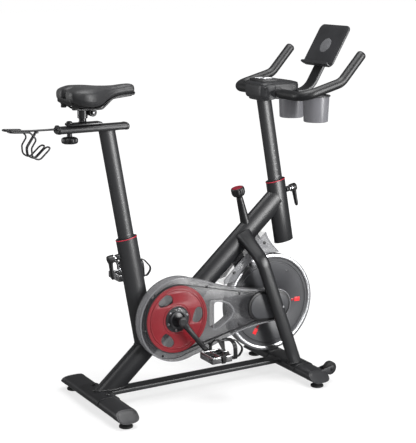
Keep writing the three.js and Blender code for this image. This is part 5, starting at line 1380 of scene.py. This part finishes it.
def build_tablet():
    middle = V(TABLET_X, 0, TABLET_Z)
    half_y, half_u = TABLET_WIDTH / 2, TABLET_HEIGHT / 2
    pivot = middle - TABLET_UP * 52 + TABLET_FRONT * 17

    def at(u, n, y=0):
        return middle + TABLET_UP * u + TABLET_FRONT * n + Y * y

    corners = [(V(544, 0, 1103), 0), (V(607, 0, 1104), 70), (pivot - TABLET_UP * 4, 0)]
    path = respace(rounded(corners, 12), 5)
    finish(sweep("tablet_arm_core", path, 5, 26.8, Y, 40, 5), BLACK, "handlebar",
           ["tablet_arm"])
    for s, word in HANDS:
        edge = [p + Y * (s * 26.4) for p in path]
        finish(sweep(f"tablet_arm_edge_{word}", edge, 5.6, 2.2, Y, 20, 4), PLATE, "handlebar")
    drum = rod("tablet_hinge", pivot - Y * 18, pivot + Y * 18, 9, 40, 1)
    finish(drum, SATIN, "handlebar")
    for s, word in HANDS:
        bolt(f"tablet_hinge_bolt_{word}", pivot + Y * (s * 27.4), Y * s, 5, 3.4, "handlebar", STEEL)

    outer = rounded_slab(middle, half_u, half_y, 22)
    rings = [outer(g, n) for g, n in ((5, 0.6), (1.6, 0), (0.4, 0.6), (0, 2), (0, 6), (0.5, 7.4), (1.8, 8),
                                      (5, 8))]
    finish(loft("tablet_plate_skin", rings), PLATE, "tablet", ["tablet_plate"], angle=50)
    inner = [outer(g, n) for g, n in ((4.5, 0.9), (4.6, -0.2), (5.4, -0.5), (30, -0.5))]
    finish(loft("tablet_face", inner), PLATE, "tablet")
    disc = [(0, 0), (29.4, 0), (30, 0.5), (29.6, 1.1), (28.6, 1.4), (0, 1.5)]
    finish(turned("tablet_pad", disc, at(-2, -0.3), -TABLET_FRONT, 72), PAD, "tablet")
    ledge = bar("ledge", at(4 - half_u, -14), at(4 - half_u, 2), TABLET_UP, 3.5, half_y - 8, 56, 6, 1)
    lip = bar("lip", at(6 - half_u, -17), at(6 - half_u, -12), TABLET_UP, 5.5, half_y - 8, 56, 6, 1.4)
    finish(join("tablet_ledge", [ledge, lip]), PLATE, "tablet")
    strip = bar("tablet_ledge_pad", at(7.9 - half_u, -11), at(7.9 - half_u, -2), TABLET_UP, 0.9, half_y - 16,
                48, 6, 0.5)
    finish(strip, RUBBER, "tablet")
    ears = []
    for s in (-1, 1):
        ears.append(turned("ear", [(3.4, 19.2), (8.4, 19.2), (9, 19.8), (9, 26.4), (8.4, 27), (3.4, 27),
                                   (3.4, 19.2)], pivot, Y * s, 40))
        ears.append(bar("root", at(-52, 7.5, 23 * s), at(-52, 16, 23 * s), TABLET_UP, 9, 3.8, 32, 6))
    rib = [bar("rib", at(u, 8.2, y - 34 * w), at(u, 8.2, y + 34 * w), TABLET_UP, 2, 1.6, 16, 4)
           for u, y, w in ((-52, 0, 1), (-30, 0, 0.9), (30, 0, 1.4), (62, 0, 1.4))]
    finish(join("tablet_ears", ears + rib), PLATE, "tablet")


def rounded_slab(middle, half_u, half_y, radius):
    """Rings of a rounded rectangle in the tablet's plane, inset by g and set back by n."""
    def ring(g, n):
        points = []
        r = max(radius - g, 2)
        for cu, cy, start in ((1, 1, 0), (-1, 1, 90), (-1, -1, 180), (1, -1, 270)):
            for i in range(13):
                t = math.radians(start + 90 * i / 12)
                u = cu * (half_u - g - r) + r * math.cos(t)
                y = cy * (half_y - g - r) + r * math.sin(t)
                points.append(middle + TABLET_UP * u + TABLET_FRONT * n + Y * y)
        return points
    return ring


# ------------------------------------------------------------------ building it
build_main_tube()
build_seat_tube()
build_head_tube()
build_collars()
build_legs()
build_base()
build_feet()
build_wheels()
build_crank()
build_pedals()
build_flywheel()
build_belt()
build_guard()
build_hub_cover()
build_brake()
build_lock("seat", seat_at, SEAT_PIN_Z, -1)
build_lock("head", head_at, HEAD_PIN_Z, 1)
build_posts()
build_rail()
build_rack()
build_carriage()
build_saddle()
build_handlebar()
build_console()
build_cups()
build_tablet()


# ------------------------------------------------------------------ floor, light and camera
LIGHT_TARGET = Vector((0, 0, 0.65))


def soft_light(name, at, width, height, power):
    lamp = bpy.data.lights.new(name, "AREA")
    lamp.energy = power
    lamp.shape = "RECTANGLE"
    lamp.size, lamp.size_y = width, height
    obj = bpy.data.objects.new(name, lamp)
    obj.location = at
    obj.rotation_euler = (LIGHT_TARGET - obj.location).to_track_quat("-Z", "Y").to_euler()
    link(obj)


floor = bpy.data.meshes.new("floor")
FLOOR_HALF = 30  # metres
floor_corners = [(x * FLOOR_HALF, y * FLOOR_HALF, 0) for x, y in ((-1, -1), (1, -1), (1, 1), (-1, 1))]
floor.from_pydata(floor_corners, [], [(0, 1, 2, 3)])
ground = bpy.data.objects.new("floor", floor)
link(ground)
paper = surface("pale_floor", (0.3, 0.3, 0.3), 0.9, grain=40, bump=0.0, mottle=0.004,
                Emission_Color=(1, 1, 1, 1), Specular_IOR_Level=0.0)
paper_nodes = paper.node_tree.nodes
# The floor glows: its emission is painted light. It is dimmed to 0.68 near the middle, where the bike stands,
# as painted shade round it, and rises to full strength 2.2 m out.
position = shader_node(paper_nodes, "NewGeometry")
reach = shader_node(paper_nodes, "VectorMath")
reach.operation = "LENGTH"
paper.node_tree.links.new(position.outputs["Position"], reach.inputs[0])
painted_floor_glow = shader_node(paper_nodes, "MapRange", From_Min=0.3, From_Max=2.2, To_Min=0.68, To_Max=1.0)
paper.node_tree.links.new(reach.outputs["Value"], painted_floor_glow.inputs["Value"])
paper.node_tree.links.new(painted_floor_glow.outputs["Result"], paper_nodes["Principled BSDF"].inputs["Emission Strength"])
floor.materials.append(paper)
ground.visible_glossy = False

soft_light("key", (2.3, -3.5, 1.0), 1.0, 2.6, 215)
soft_light("top", (0.2, -0.6, 3.6), 2.4, 2.4, 130)
soft_light("rim", (-3.0, 2.0, 1.5), 0.5, 2.4, 50)
soft_light("front", (-2.4, -3.4, 2.4), 1.4, 1.4, 30)

world = bpy.data.worlds.new("studio")
world.use_nodes = True
sky = world.node_tree
backdrop = sky.nodes["Background"]
rays = shader_node(sky.nodes, "LightPath")
level = shader_node(sky.nodes, "MapRange", To_Min=0.12, To_Max=1.0)
sky.links.new(rays.outputs["Is Camera Ray"], level.inputs["Value"])
sky.links.new(level.outputs["Result"], backdrop.inputs["Strength"])
backdrop.inputs["Color"].default_value = (1, 1, 1, 1)
bpy.context.scene.world = world
bpy.context.scene.view_settings.view_transform = "Standard"

CAMERA_AT, CAMERA_TARGET, LENS = (-2070.3, -3795.9, 1597.1), (165.63, 0, 639.74), 98.80
lens = bpy.data.cameras.new("camera")
lens.lens = LENS
lens.sensor_width = 36
camera = bpy.data.objects.new("camera", lens)
camera.location = place(CAMERA_AT)
camera.rotation_euler = (Vector(place(CAMERA_TARGET)) - camera.location).to_track_quat("-Z", "Y").to_euler()
link(camera)
bpy.context.scene.camera = camera
